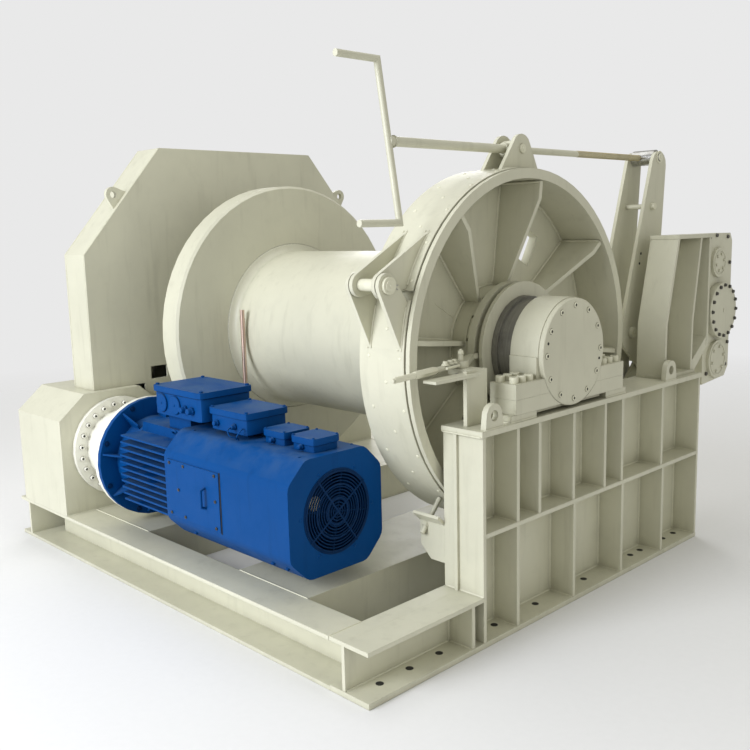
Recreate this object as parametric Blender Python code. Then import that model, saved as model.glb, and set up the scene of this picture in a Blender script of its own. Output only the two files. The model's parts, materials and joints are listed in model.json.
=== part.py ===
"""Electric drum winch for mooring and towing: a geared rope drum with a hinged band brake, on a welded base.

Metres, +Z up. While it is modelled, X runs along the drum shaft (0 at the bearing end of the base, minus
towards the gears), Y runs from the motor side to the brake lever, and Z = 0 is the deck. The last step moves
the whole machine so that the origin is the middle of its footprint.
"""

import math

import bmesh
import bpy
from mathutils import Matrix, Vector

# ---------------------------------------------------------------- driving dimensions
SEAT_GAP = 0.0003          # between pieces that touch
SIDES = 32                 # facets of the turned pieces
PIN_SIDES = 16             # facets of pins, of their holes and of rounded corners
BASE_LENGTH = 3.05
BASE_WIDTH = 2.60
BASE_HEIGHT = 0.228
END_BEAM_WIDTH = 0.22
SIDE_BEAM_WIDTH = 0.178
BEAM_PLATE = 0.018         # flange and web thickness of the base beams
CROSS_BEAM_X = (-1.05, -0.555)
GEAR_BED_X = (-2.49, -1.86)

PEDESTAL_FRONT = 0.685
PEDESTAL_HEIGHT = 0.95
MID_RAIL_Z = 0.495
PEDESTAL_WEB_X = -0.135
UPPER_RIBS_Y = (0.93, 1.09, 1.36, 1.63, 1.79, 2.19)
LOWER_RIBS_Y = (0.93, 1.37, 1.80, 2.21)
RIB_PLATE = 0.02
TOP_PLATE = 0.025
LUG_RADIUS = 0.052
LUG_HOLE = 0.024
LUG_PLATE = 0.028
LUGS_Y = (0.765, 2.27)

BEARING_HALF = 0.434       # half the length over the feet
BEARING_FOOT_INNER = 0.262 # where a foot ends, from the shaft
BEARING_X = (-0.175, -0.018)
BEARING_FEET_X = (-0.145, -0.003)
BEARING_RADIUS = 0.25
BEARING_BORE = 0.150
BEARING_SPLIT = 0.163      # the split between cap and base, below the shaft
BEARING_FOOT_CAP = 0.068   # height of the cap's own foot
COVER_RADIUS = 0.246
COVER_PLATE = 0.024
SEAT_RISE = 0.03

SHAFT_Y = 1.347
SHAFT_Z = 1.208
SHAFT_RADIUS = 0.11
SHAFT_X = (-2.945, -0.03)
BUSH_RADIUS = SHAFT_RADIUS + 0.025
FLANGE_BUSH_X = (-2.158, -2.004)
BRAKE_BUSH_X = (-0.543, -0.407)
RUN_GAP = 0.0008           # radial running clearance of the plain bushes

FLANGE_RADIUS = 0.84
FLANGE_X = (-2.16, -2.002)
BARREL_RADIUS = 0.456
BARREL_WALL = 0.036
FLANGE_CHAMFER = 0.014
HUB_BOSS = 0.24

BRAKE_RADIUS = 0.818       # outside of the brake cylinder
BRAKE_BORE = 0.790
BRAKE_X = (-0.548, -0.2455)
BRAKE_RIM = 0.836
BRAKE_RIM_WIDTH = 0.022
BRAKE_WEB_X = (-0.545, -0.495)
SPOKES = 8
SPOKE_FIRST = 37.5
SPOKE_PLATE = 0.022
SPOKE_HUB_X = -0.385
HUB_RADIUS = 0.29
HUB_X = -0.405
JAWS = 8
JAW_DEPTH = 0.03
JAW_SIDE_GAP = 1.2         # degrees on each side of a jaw
WEB_WINDOW = 0.17
WEB_WINDOW_RADIUS = 0.56
WINDOW_ANGLES = (59.5, 239.5)

SLEEVE_BORE = 0.2475
SLEEVE_RADIUS = 0.315
SLEEVE_X = (-0.372, -0.285)
GROOVE_X = -0.318
GROOVE_WIDTH = 0.028
GROOVE_DEPTH = 0.03
COLLAR_RADIUS = 0.235
COLLAR_X = (-0.392, -0.177)
SPLINE_END_X = -0.255
HANDLE_PIVOT = (-0.215, 0.80)  # upright pin of the shift handle, in plan
HANDLE_Z = 1.20
HANDLE_BAR = 0.014
HANDLE_LENGTH = 0.50
POST_X = (-0.13, -0.11)

STRAP = 0.012
LINING = 0.010
BAND_X = (-0.540, -0.274)
BAND_GAP = 0.0006
UPPER_BAND = (84.0, 157.6)     # degrees about the shaft, from +Y towards +Z
LOWER_BAND = (160.4, 318.0)
BAND_FACET = 3.6               # degrees between the bends of the strap and of its lining
HINGE_ANGLE = 159.0
HINGE_RADIUS = 0.972
HINGE_PIN = 0.026
EAR_PLATE = 0.02
EAR_RING = 0.052

TRUNNION_Y = 1.400
TRUNNION_Z = 2.140
TRUNNION_BLOCK = 0.042
TRUNNION_PIN = 0.022
EAR_PAIR_X = (-0.345, -0.450)
UPPER_HINGE_X = (-0.325, -0.455)
LOWER_HINGE_X = (-0.300, -0.480)
FOOT_EAR_X = (-0.350, -0.405)
TIE_X = (-0.325, -0.430)
TIE_PLATE = 0.018
TIE_PIN = 0.022
TIE_SLACK = 0.0012
LEVER_PAIR_X = (-0.300, -0.455)
LEVER_PLATE = 0.02
PIVOT_PIN = 0.032
LEVER_SPACERS = ((2.542, 1.869),)
BRACKET_X = -0.375
LEVER_TOP = (2.615, 2.098)
LEVER_PIVOT = (2.350, 1.180)
LEVER_TIE = (2.520, 1.012)
TIE_FOOT_RADIUS = 0.955
TIE_FOOT_ANGLE = -46.0
SCREW_RADIUS = 0.016
SPINDLE_RADIUS = 0.021
SCREW_X = -0.3975
SCREW_Z = TRUNNION_Z
NUT_GAP = 0.0015
CRANK_Y = 0.57
CRANK_ARM = 0.338
CRANK_LEAN = 9.5           # degrees of the crank arm from upright
CRANK_BAR = 0.0155
GRIP_LENGTH = 0.23
ADJUSTER_RADIUS = 0.955
ADJUSTER_ANGLE = 228.0
ADJUSTER_X = -0.33
ADJUSTER_GAP = 0.003       # how far the lower band may drop when the brake opens

GUARD_X = (-2.742, -2.500)
GUARD_PLATE = 0.012
GUARD_HALF = 1.097
GUARD_TOP = 1.077
GUARD_CORNER_Z = 0.471
GUARD_CORNER_Y = 0.577
GEAR_MODULE = 0.020
GEAR_TEETH = 100
PINION_TEETH = 18
GEAR_X = (-2.700, -2.545)
PINION_X = (-2.712, -2.533)
PRESSURE_ANGLE = 20.0
BACKLASH = 0.0022

MOTOR_Y = 0.3497
MOTOR_Z = 0.5805
GEARCASE_X = (-2.98, -2.44)
GEARCASE_WIDTH = 0.58
GEARCASE_TOP = 0.905
GEARCASE_PLATE = 0.03
GEAR_STAND_X = (-2.98, -2.80)
PINION_SHAFT = 0.07
REDUCER_FLANGE = 0.286
REDUCER_RADIUS = 0.212
ADAPTER_RADIUS = 0.325
MOTOR_FLANGE_X = -2.075
MOTOR_FLANGE_RADIUS = 0.325
MOTOR_END_X = -0.54
COWL_START_X = -1.49
COWL_HALF = 0.27
COWL_TOP = 0.26
COWL_LOW = 0.27
COWL_CORNER = 0.10
FRAME_START_X = -1.95
ROTOR_RADIUS = 0.035
FAN_X = (-0.80, -0.70)
FAN_BLADES = 7
FAN_REACH = 0.205
GRILLE_RINGS = (0.06, 0.12, 0.18)
GRILLE_REACH = 0.19
BLOWER_BOX_X = (-0.87, -0.67)
COWL_WALL = 0.006
COWL_CHAMBER_X = -0.87
FRAME_RADIUS = 0.222
FIN_REACH = 0.262
FAN_INLET = 0.182

AUX_X = (-0.205, -0.040)
AUX_FOOT_Y = 2.265
AUX_BOX_Y = 2.76
AUX_BOX_WIDTH = 0.33
AUX_BOX_LOW = 0.85
AUX_TOP = 1.71
AUX_COVER = 0.16
AUX_COVER_Z = 1.269
ROD_AT = (-1.88, 0.865)
ROD_RADIUS = 0.013
ROD_TOP = 1.35

TAU = 2 * math.pi
BAND_OUTER = BRAKE_RADIUS + BAND_GAP + LINING + STRAP


# ---------------------------------------------------------------- materials
def material(name, colour, roughness, metallic=0.0):
    made = bpy.data.materials.new(name)
    made.use_nodes = True
    shader = made.node_tree.nodes["Principled BSDF"]
    shader.inputs["Base Color"].default_value = (*colour, 1.0)
    shader.inputs["Roughness"].default_value = roughness
    shader.inputs["Metallic"].default_value = metallic
    made.diffuse_color = (*colour, 1.0)
    return made


# ---------------------------------------------------------------- modelling tools
def on_plane(axis, u, v, depth):
    """The point (u, v) of the plane across an axis, at a depth along it."""
    return {"x": (depth, u, v), "y": (u, depth, v), "z": (u, v, depth)}[axis]


def arc(cu, cv, radius, start, end, steps):
    """Points of a circular arc, with both ends, in degrees."""
    angles = [math.radians(start + (end - start) * i / steps) for i in range(steps + 1)]
    return [(cu + radius * math.cos(a), cv + radius * math.sin(a)) for a in angles]


def circle(cu, cv, radius, steps=PIN_SIDES, turn=0.0):
    return arc(cu, cv, radius, turn, turn + 360, steps)[:-1]


def rectangle(u0, v0, u1, v1):
    return [(u0, v0), (u1, v0), (u1, v1), (u0, v1)]


def polar(radius, angle, cu=SHAFT_Y, cv=SHAFT_Z):
    """A point about the drum shaft in the Y-Z plane; the angle runs from +Y towards +Z."""
    return (cu + radius * math.cos(math.radians(angle)), cv + radius * math.sin(math.radians(angle)))


def belt(*circles, steps=PIN_SIDES):
    """The outline of a belt pulled round circles (u, v, radius): link plates and lugs."""
    points = sorted({(round(u, 6), round(v, 6)) for c in circles for u, v in circle(*c, steps)})

    def chain(run):
        kept = []
        for p in run:
            while len(kept) > 1:
                (ax, ay), (bx, by) = kept[-2], kept[-1]
                if (bx - ax) * (p[1] - ay) - (by - ay) * (p[0] - ax) > 1e-9:
                    break
                kept.pop()
            kept.append(p)
        return kept[:-1]

    return chain(points) + chain(reversed(points))


def prism(axis, outline, low, high, holes=()):
    """A plate: an outline, with holes, extruded along an axis."""
    bm = bmesh.new()
    edges = []
    for loop in (outline, *holes):
        verts = [bm.verts.new(on_plane(axis, u, v, low)) for u, v in loop]
        edges += [bm.edges.new((a, b)) for a, b in zip(verts, verts[1:] + verts[:1])]
    if holes:
        bmesh.ops.triangle_fill(bm, edges=edges, use_beauty=True, use_dissolve=False)
    else:
        bm.faces.new(verts)
    grown = bmesh.ops.extrude_face_region(bm, geom=bm.faces[:])
    moved = [g for g in grown["geom"] if isinstance(g, bmesh.types.BMVert)]
    bmesh.ops.translate(bm, verts=moved, vec=on_plane(axis, 0, 0, high - low))
    bmesh.ops.recalc_face_normals(bm, faces=bm.faces[:])
    return bm


def box(low, high):
    return prism("z", rectangle(low[0], low[1], high[0], high[1]), low[2], high[2])


def revolve(axis, centre, profile, steps=SIDES):
    """A turned piece: a closed profile of (along, radius) about an axis through a centre (u, v)."""
    bm = bmesh.new()
    rings = []
    for i in range(steps):
        a = TAU * i / steps
        cu, cv = centre[0], centre[1]
        rings.append([bm.verts.new(on_plane(axis, cu + r * math.cos(a), cv + r * math.sin(a), x))
                      if r > 1e-9 else None for x, r in profile])
    poles = {j: bm.verts.new(on_plane(axis, *centre, x)) for j, (x, r) in enumerate(profile) if r <= 1e-9}
    count = len(profile)
    for i in range(steps):
        here, there = rings[i], rings[(i + 1) % steps]
        for j in range(count):
            k = (j + 1) % count
            corners = [here[j] or poles[j], there[j] or poles[j], there[k] or poles[k], here[k] or poles[k]]
            ring = [c for n, c in enumerate(corners) if c not in corners[:n]]
            if len(ring) > 2:
                bm.faces.new(ring)
    bmesh.ops.recalc_face_normals(bm, faces=bm.faces[:])
    return bm


def rod(axis, centre, radius, low, high, steps=PIN_SIDES):
    return prism(axis, circle(*centre, radius, steps), low, high)


def bar(points, radius, steps=10):
    """A round bar along straight runs between points."""
    bm = bmesh.new()
    route = [Vector(p) for p in points]
    rings = []
    for i, here in enumerate(route):
        before = (here - route[i - 1]).normalized() if i else (route[1] - here).normalized()
        after = (route[i + 1] - here).normalized() if i + 1 < len(route) else before
        along = (before + after).normalized()
        side = along.cross(Vector((1, 0, 0)) if abs(along.x) < 0.8 else Vector((0, 1, 0))).normalized()
        up = along.cross(side)
        stretch = 1 / max(along.dot(before), 0.5)
        bend = (after - before)
        bend = bend.normalized() if bend.length > 1e-6 else None
        ring = []
        for k in range(steps):
            offset = side * math.cos(TAU * k / steps) + up * math.sin(TAU * k / steps)
            if bend is not None:
                offset += bend * offset.dot(bend) * (stretch - 1)
            ring.append(bm.verts.new(here + offset * radius))
        rings.append(ring)
    for low, high in zip(rings, rings[1:]):
        for k in range(steps):
            bm.faces.new((low[k], low[(k + 1) % steps], high[(k + 1) % steps], high[k]))
    bm.faces.new(rings[0])
    bm.faces.new(rings[-1])
    bmesh.ops.recalc_face_normals(bm, faces=bm.faces[:])
    return bm


def scratch(bm, name="cutter"):
    mesh = bpy.data.meshes.new(name)
    bm.to_mesh(mesh)
    bm.free()
    obj = bpy.data.objects.new(name, mesh)
    bpy.context.scene.collection.objects.link(obj)
    obj.hide_render = True
    obj.display_type = "WIRE"
    return obj


def combine(first, others, operation):
    """Boolean of one body with several others, as a new body."""
    if not others:
        return first
    target = scratch(first, "target")
    group = bpy.data.collections.new("operands")
    bpy.context.scene.collection.children.link(group)
    for bm in others:
        tool = scratch(bm)
        bpy.context.scene.collection.objects.unlink(tool)
        group.objects.link(tool)
    step = target.modifiers.new("join", "BOOLEAN")
    step.operation = operation
    step.operand_type = "COLLECTION"
    step.collection = group
    step.solver = "EXACT"
    bpy.context.view_layer.update()
    result = bmesh.new()
    result.from_object(target, bpy.context.evaluated_depsgraph_get())
    bmesh.ops.remove_doubles(result, verts=result.verts[:], dist=1e-6)
    bmesh.ops.dissolve_limit(result, angle_limit=math.radians(0.4), verts=result.verts[:],
                             edges=result.edges[:])
    for obj in [target, *group.objects]:
        bpy.data.objects.remove(obj)
    bpy.data.collections.remove(group)
    return result


def welded(*bodies):
    return combine(bodies[0], bodies[1:], "UNION")


def cut(body, *tools):
    return combine(body, tools, "DIFFERENCE")


def node(name, bm, colour, origin=(0, 0, 0), sharp=35):
    """One named piece, with its own origin."""
    mesh = bpy.data.meshes.new(name)
    bmesh.ops.translate(bm, verts=bm.verts[:], vec=-Vector(origin))
    bm.to_mesh(mesh)
    bm.free()
    mesh.shade_smooth()
    mesh.set_sharp_from_angle(angle=math.radians(sharp))
    mesh.materials.append(colour)
    obj = bpy.data.objects.new(name, mesh)
    obj.location = origin
    bpy.context.scene.collection.objects.link(obj)
    return obj


# ---------------------------------------------------------------- base frame and end pedestal
def channel_along_x(y_web, y_open, x0, x1):
    """A beam open to one side, with its web on the other."""
    side = math.copysign(BEAM_PLATE, y_open - y_web)
    outline = [(y_web, 0), (y_open, 0), (y_open, BEAM_PLATE), (y_web + side, BEAM_PLATE),
               (y_web + side, BASE_HEIGHT - BEAM_PLATE), (y_open, BASE_HEIGHT - BEAM_PLATE),
               (y_open, BASE_HEIGHT), (y_web, BASE_HEIGHT)]
    return prism("x", outline, x0, x1)


def base_frame(paint):
    left = -BASE_LENGTH
    gear_end = left + END_BEAM_WIDTH
    side_low, side_high = gear_end + SEAT_GAP, -END_BEAM_WIDTH - SEAT_GAP
    front = channel_along_x(SIDE_BEAM_WIDTH, 0, side_low, side_high)
    node("base_front_beam", front, paint)
    rear = channel_along_x(BASE_WIDTH - SIDE_BEAM_WIDTH, BASE_WIDTH, side_low, side_high)
    node("base_rear_beam", rear, paint)
    web = END_BEAM_WIDTH * 0.55
    outline = [(left, 0), (gear_end, 0), (gear_end, BEAM_PLATE), (gear_end - web + BEAM_PLATE, BEAM_PLATE),
               (gear_end - web + BEAM_PLATE, BASE_HEIGHT - BEAM_PLATE), (gear_end, BASE_HEIGHT - BEAM_PLATE),
               (gear_end, BASE_HEIGHT), (left, BASE_HEIGHT), (left, BASE_HEIGHT - BEAM_PLATE),
               (gear_end - web, BASE_HEIGHT - BEAM_PLATE), (gear_end - web, BEAM_PLATE), (left, BEAM_PLATE)]
    node("base_gear_end_beam", prism("y", outline, 0, BASE_WIDTH), paint)
    inner = (SIDE_BEAM_WIDTH + SEAT_GAP, BASE_WIDTH - SIDE_BEAM_WIDTH - SEAT_GAP)
    for name, (x0, x1) in {"base_cross_beam": CROSS_BEAM_X, "gear_bed_beam": GEAR_BED_X}.items():
        wall = BEAM_PLATE
        outline = [(x0, 0), (x0 + wall, 0), (x0 + wall, BASE_HEIGHT - wall), (x1 - wall, BASE_HEIGHT - wall),
                   (x1 - wall, 0), (x1, 0), (x1, BASE_HEIGHT), (x0, BASE_HEIGHT)]
        node(name, prism("y", outline, *inner), paint)


def end_frame(paint):
    """The bearing-end beam and the ribbed pedestal, welded into one wall."""
    depth = -END_BEAM_WIDTH
    low_z, top = BEAM_PLATE, PEDESTAL_HEIGHT
    y0, y1 = PEDESTAL_FRONT, BASE_WIDTH
    web = (PEDESTAL_WEB_X - BEAM_PLATE, PEDESTAL_WEB_X)
    rib = RIB_PLATE / 2
    bodies = [
        box((depth, 0, 0), (0, y1, 0.024)),                                     # bottom plate
        box((web[0], 0.004, 0.01), (web[1], y1 - 0.004, top - 0.01)),           # web, cut down below
        box((depth, 0.002, BASE_HEIGHT - BEAM_PLATE), (0, y0 + 0.01, BASE_HEIGHT)),
        box((depth + 0.001, y0, 0.01), (-0.001, y0 + 0.018, top - 0.01)),       # front column plate
        box((depth, y0 - 0.012, top - TOP_PLATE), (0.006, y1, top)),            # top plate
        box((web[0] + 0.001, y0 + 0.005, MID_RAIL_Z - rib), (-0.002, y1 - 0.005, MID_RAIL_Z + rib)),
        box((depth + 0.001, y1 - 0.018, 0.01), (-0.001, y1 - 0.001, top - 0.01)),
        box((web[0] + 0.001, 0.62 - rib, 0.01), (-0.004, 0.62 + rib, BASE_HEIGHT - 0.008)),
    ]
    for y in UPPER_RIBS_Y:
        bodies.append(box((web[0] + 0.001, y - rib, MID_RAIL_Z), (-0.004, y + rib, top - 0.01)))
    for y in LOWER_RIBS_Y:
        bodies.append(box((web[0] + 0.001, y - rib, low_z - 0.004), (-0.004, y + rib, MID_RAIL_Z)))
    for side in (-1, 1):
        ends = sorted(SHAFT_Y + side * reach for reach in (BEARING_FOOT_INNER + 0.02, BEARING_HALF + 0.03))
        bodies.append(box((depth + 0.006, ends[0], top - 0.01), (-0.006, ends[1], top + SEAT_RISE)))
    for y in LUGS_Y:
        eye = (y, top + 0.055)
        outline = belt((*eye, LUG_RADIUS), (y - 0.05, top - 0.012, 0.01), (y + 0.05, top - 0.012, 0.01))
        bodies.append(prism("x", outline, -LUG_PLATE - 0.003, -0.003, [circle(*eye, LUG_HOLE)]))
    body = welded(*bodies)
    clear = box((web[0] - 0.01, -0.01, BASE_HEIGHT + SEAT_GAP), (0.05, y0 - 0.0125, top + 0.2))
    node("bearing_pedestal", cut(body, clear), paint)


def bearing(paint, steel):
    """Split pillow block: base with feet, cap, bearing ring and bolted end cover."""
    x0, x1 = BEARING_X
    seat = PEDESTAL_HEIGHT + SEAT_RISE + SEAT_GAP
    split = SHAFT_Z - BEARING_SPLIT
    inner, half = BEARING_FOOT_INNER, BEARING_HALF
    centre = (SHAFT_Y, SHAFT_Z)
    shell = rod("x", centre, BEARING_RADIUS, x0, x1 - 0.006, 48)
    skirt = rectangle(SHAFT_Y - inner + 0.004, seat - 0.018, SHAFT_Y + inner - 0.004, SHAFT_Z)
    feet = rectangle(SHAFT_Y - half, seat, SHAFT_Y + half, split + BEARING_FOOT_CAP)
    room = rod("x", centre, BEARING_RADIUS - 0.002, x1 - 0.006, x1 + 0.1, 48)
    foot = cut(prism("x", feet, *BEARING_FEET_X), room)
    whole = welded(shell, prism("x", skirt, x0 + 0.002, x1 - 0.008), foot)
    bore = rod("x", centre, BEARING_BORE, x0 - 0.05, x1 + 0.05, SIDES)
    above = box((x0 - 0.05, SHAFT_Y - 1, split - SEAT_GAP / 2), (x1 + 0.05, SHAFT_Y + 1, SHAFT_Z + 1))
    below = box((x0 - 0.05, SHAFT_Y - 1, seat - 0.2), (x1 + 0.05, SHAFT_Y + 1, split + SEAT_GAP / 2))
    node("bearing_base", cut(whole.copy(), above), paint)
    node("bearing_cap", cut(whole, below, bore), paint)
    outer, bore_radius = BEARING_BORE - SEAT_GAP, SHAFT_RADIUS + RUN_GAP
    ring = [(x0 + 0.02, outer), (x1 - 0.02, outer), (x1 - 0.02, bore_radius), (x0 + 0.02, bore_radius)]
    node("bearing_ring", revolve("x", centre, ring), steel)
    face = x1 - 0.006 + SEAT_GAP
    front = face + COVER_PLATE
    edge = COVER_RADIUS - 0.004
    cover = [(face, 0), (face, COVER_RADIUS), (front - 0.004, COVER_RADIUS), (front, edge), (front, 0)]
    node("bearing_end_cover", revolve("x", centre, cover, 48), paint)


# ---------------------------------------------------------------- shaft, drum and brake drum
def about_shaft(angle, x=0.0):
    return Matrix.Translation((x, SHAFT_Y, SHAFT_Z)) @ Matrix.Rotation(math.radians(angle), 4, "X")


def radial_plate(outline, thickness, angle):
    """A plate through the shaft's axis; its outline is (along, radius), its direction an angle about X."""
    bm = prism("z", outline, -thickness / 2, thickness / 2)
    bm.transform(about_shaft(angle))
    return bm


def sector(inner, outer, start, end, x0, x1, steps=2):
    """A block between two radii and two angles about the shaft."""
    outline = arc(SHAFT_Y, SHAFT_Z, outer, start, end, steps)
    outline += arc(SHAFT_Y, SHAFT_Z, inner, end, start, steps)
    return prism("x", outline, x0, x1)


def jaw_ring(inner, outer, x0, x1, phase):
    """Clutch teeth: each takes half a pitch, less its side clearance."""
    pitch = 360 / JAWS
    return [sector(inner, outer, phase + i * pitch - pitch / 4 + JAW_SIDE_GAP,
                   phase + i * pitch + pitch / 4 - JAW_SIDE_GAP, x0, x1) for i in range(JAWS)]


def shaft_line(steel, dark, bronze):
    centre = (SHAFT_Y, SHAFT_Z)
    node("main_shaft", rod("x", centre, SHAFT_RADIUS, *SHAFT_X, SIDES), steel, (0, *centre))
    bore = SHAFT_RADIUS + SEAT_GAP
    x0, x1 = COLLAR_X
    guide = SLEEVE_BORE - RUN_GAP
    hub = [(x0, bore), (x0, guide), (SPLINE_END_X, guide), (SPLINE_END_X, COLLAR_RADIUS),
           (x1, COLLAR_RADIUS), (x1, bore)]
    node("clutch_hub", revolve("x", centre, hub), dark, (0, *centre))
    for name, (b0, b1) in {"flange_bush": FLANGE_BUSH_X, "brake_bush": BRAKE_BUSH_X}.items():
        inner = SHAFT_RADIUS + RUN_GAP
        wall = [(b0, inner), (b0, BUSH_RADIUS), (b1, BUSH_RADIUS), (b1, inner)]
        node(name, revolve("x", centre, wall), bronze, (0, *centre))


def rope_drum(paint):
    centre = (SHAFT_Y, SHAFT_Z)
    x0, x1 = FLANGE_X
    r, c, rim = FLANGE_RADIUS, FLANGE_CHAMFER, FLANGE_RADIUS - 0.04
    bore, plate = BUSH_RADIUS + SEAT_GAP, x1 - 0.05
    flange = [(x1, bore), (x1, r - c), (x1 - c, r), (x0 + c, r), (x0, r - c), (x0, rim), (plate, rim),
              (plate, HUB_BOSS), (x0, HUB_BOSS), (x0, bore)]
    node("rope_flange", revolve("x", centre, flange, 56), paint, (0, *centre))
    start, end = x1 + SEAT_GAP, BRAKE_WEB_X[0] - SEAT_GAP
    outer, inner = BARREL_RADIUS, BARREL_RADIUS - BARREL_WALL
    barrel = [(start, inner), (start, outer), (end, outer), (end, inner)]
    node("rope_barrel", revolve("x", centre, barrel, 48), paint, (0, *centre))


def brake_drum(paint):
    centre = (SHAFT_Y, SHAFT_Z)
    x0, x1 = BRAKE_X
    step = x1 - BRAKE_RIM_WIDTH
    rim = [(x0, BRAKE_BORE), (x0, BRAKE_RADIUS), (step, BRAKE_RADIUS), (step, BRAKE_RIM), (x1, BRAKE_RIM),
           (x1, BRAKE_BORE)]
    node("brake_rim", revolve("x", centre, rim, 72), paint, (0, *centre))
    web0, web1 = BRAKE_WEB_X
    bore = BUSH_RADIUS + SEAT_GAP
    reach = BRAKE_BORE - SEAT_GAP
    windows = []
    for angle in WINDOW_ANGLES:
        cu, cv = polar(WEB_WINDOW_RADIUS, angle)
        windows.append(circle(cu, cv, WEB_WINDOW / math.sqrt(2), 4, angle + 45))
    web = prism("x", circle(*centre, reach, 72), web0, web1, [circle(*centre, bore, SIDES), *windows])
    near, root = web0 + 0.001, HUB_RADIUS - 0.012
    hub = revolve("x", centre, [(near, bore), (near, HUB_RADIUS), (HUB_X, HUB_RADIUS), (HUB_X, bore)])
    spoke = [(web1 - 0.01, root), (SPOKE_HUB_X - 0.025, root), (SPOKE_HUB_X - 0.025, root + 0.022),
             (x1 - 0.012, reach - 0.085), (x1 - 0.012, reach - 0.003), (web1 - 0.01, reach - 0.003)]
    pitch = 360 / SPOKES
    spokes = [radial_plate(spoke, SPOKE_PLATE, SPOKE_FIRST + i * pitch) for i in range(SPOKES)]
    jaws = jaw_ring(SLEEVE_BORE + 0.001, HUB_RADIUS - 0.0005, HUB_X - 0.01, HUB_X + JAW_DEPTH, 0)
    node("brake_web", welded(web, hub, *spokes, *jaws), paint, (0, *centre))


def clutch(paint, steel):
    """The sliding half of the jaw clutch, its swinging handle, and the post that carries the handle."""
    centre = (SHAFT_Y, SHAFT_Z)
    x0, x1 = SLEEVE_X
    g0, g1 = GROOVE_X - GROOVE_WIDTH / 2, GROOVE_X + GROOVE_WIDTH / 2
    low = SLEEVE_RADIUS - GROOVE_DEPTH
    body = [(x0, SLEEVE_BORE), (x0, SLEEVE_RADIUS), (g0, SLEEVE_RADIUS), (g0, low), (g1, low),
            (g1, SLEEVE_RADIUS), (x1, SLEEVE_RADIUS), (x1, SLEEVE_BORE)]
    jaws = jaw_ring(SLEEVE_BORE + 0.001, HUB_RADIUS, HUB_X + 0.003, x0 + 0.008, 180 / JAWS)
    node("clutch_sleeve", welded(revolve("x", centre, body), *jaws), paint, (0, *centre))
    px, py = HANDLE_PIVOT
    foot, top = PEDESTAL_HEIGHT + SEAT_GAP, HANDLE_Z - HANDLE_BAR - SEAT_GAP
    post = box((POST_X[0], py - 0.085, foot), (POST_X[1], py + 0.05, top))
    shelf = box((POST_X[0] - 0.02, py - 0.31, top - 0.022), (POST_X[1] + 0.03, py - 0.02, top - 0.010))
    head = box((px - 0.04, py - 0.04, top - 0.03), (POST_X[1] - 0.001, py + 0.04, top))
    pin = rod("z", HANDLE_PIVOT, 0.012, top - 0.005, HANDLE_Z + HANDLE_BAR + 0.03, 16)
    node("clutch_post", welded(post, shelf, head, pin), paint)
    knee = (GROOVE_X + 0.001, SHAFT_Y - SLEEVE_RADIUS - 0.036)
    flat = prism("z", belt((px, py, 0.032), (*knee, 0.012)), HANDLE_Z - 0.012, HANDLE_Z + 0.012)
    reach = SHAFT_Y - SLEEVE_RADIUS + GROOVE_DEPTH * 0.4
    finger = box((GROOVE_X - 0.008, knee[1], HANDLE_Z - 0.011), (GROOVE_X + 0.008, reach, HANDLE_Z + 0.011))
    eye = rod("z", HANDLE_PIVOT, 0.036, HANDLE_Z - HANDLE_BAR, HANDLE_Z + HANDLE_BAR)
    grip = Vector((px + 0.078, py - HANDLE_LENGTH, HANDLE_Z))
    hub = Vector((px, py, HANDLE_Z))
    stem = bar([hub.lerp(grip, 0.04), hub.lerp(grip, 0.5)], HANDLE_BAR - 0.002)
    handle = bar([hub.lerp(grip, 0.46), grip], HANDLE_BAR - 0.005)
    bore = rod("z", HANDLE_PIVOT, 0.0126, HANDLE_Z - 0.1, HANDLE_Z + 0.1, 16)
    node("shift_handle", cut(welded(eye, flat, finger, stem, handle), bore), steel, (px, py, HANDLE_Z))


# ---------------------------------------------------------------- band brake
def band_half(name, span, ears, paint, pins=()):
    """Half of the brake band: a strap round the brake drum with pairs of eared plates on it."""
    inner, outer = BAND_OUTER - STRAP, BAND_OUTER
    steps = round((span[1] - span[0]) / BAND_FACET)
    strap = sector(inner, outer, span[0], span[1], *BAND_X, steps)
    hollow = rod("x", (SHAFT_Y, SHAFT_Z), inner + STRAP * 0.4, BAND_X[0] - 1, BAND_X[1] + 1, 72)
    plates = []
    for outline, xs, hole in ears:
        for x in xs:
            half = EAR_PLATE / 2
            plates.append(prism("x", outline, x - half, x + half, [hole] if hole else ()))
    trimmed = [cut(plate, hollow.copy()) for plate in plates]
    hollow.free()
    node(name, welded(strap, *trimmed, *pins), paint, (0, *polar(HINGE_RADIUS, HINGE_ANGLE)))


def lining(name, span, colour):
    inner, outer = BRAKE_RADIUS + BAND_GAP, BAND_OUTER - STRAP - SEAT_GAP
    steps = round((span[1] - span[0]) / BAND_FACET)
    facet = (span[1] - span[0]) / steps
    low, high = BAND_X[0] + 0.004, BAND_X[1] - 0.004
    body = sector(inner, outer, span[0] + facet, span[1] - facet, low, high, steps - 2)
    node(name, body, colour, (0, *polar(HINGE_RADIUS, HINGE_ANGLE)))


def on_band(angle, radius=0.006):
    return (*polar(BAND_OUTER - 0.0085, angle), radius)


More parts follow.
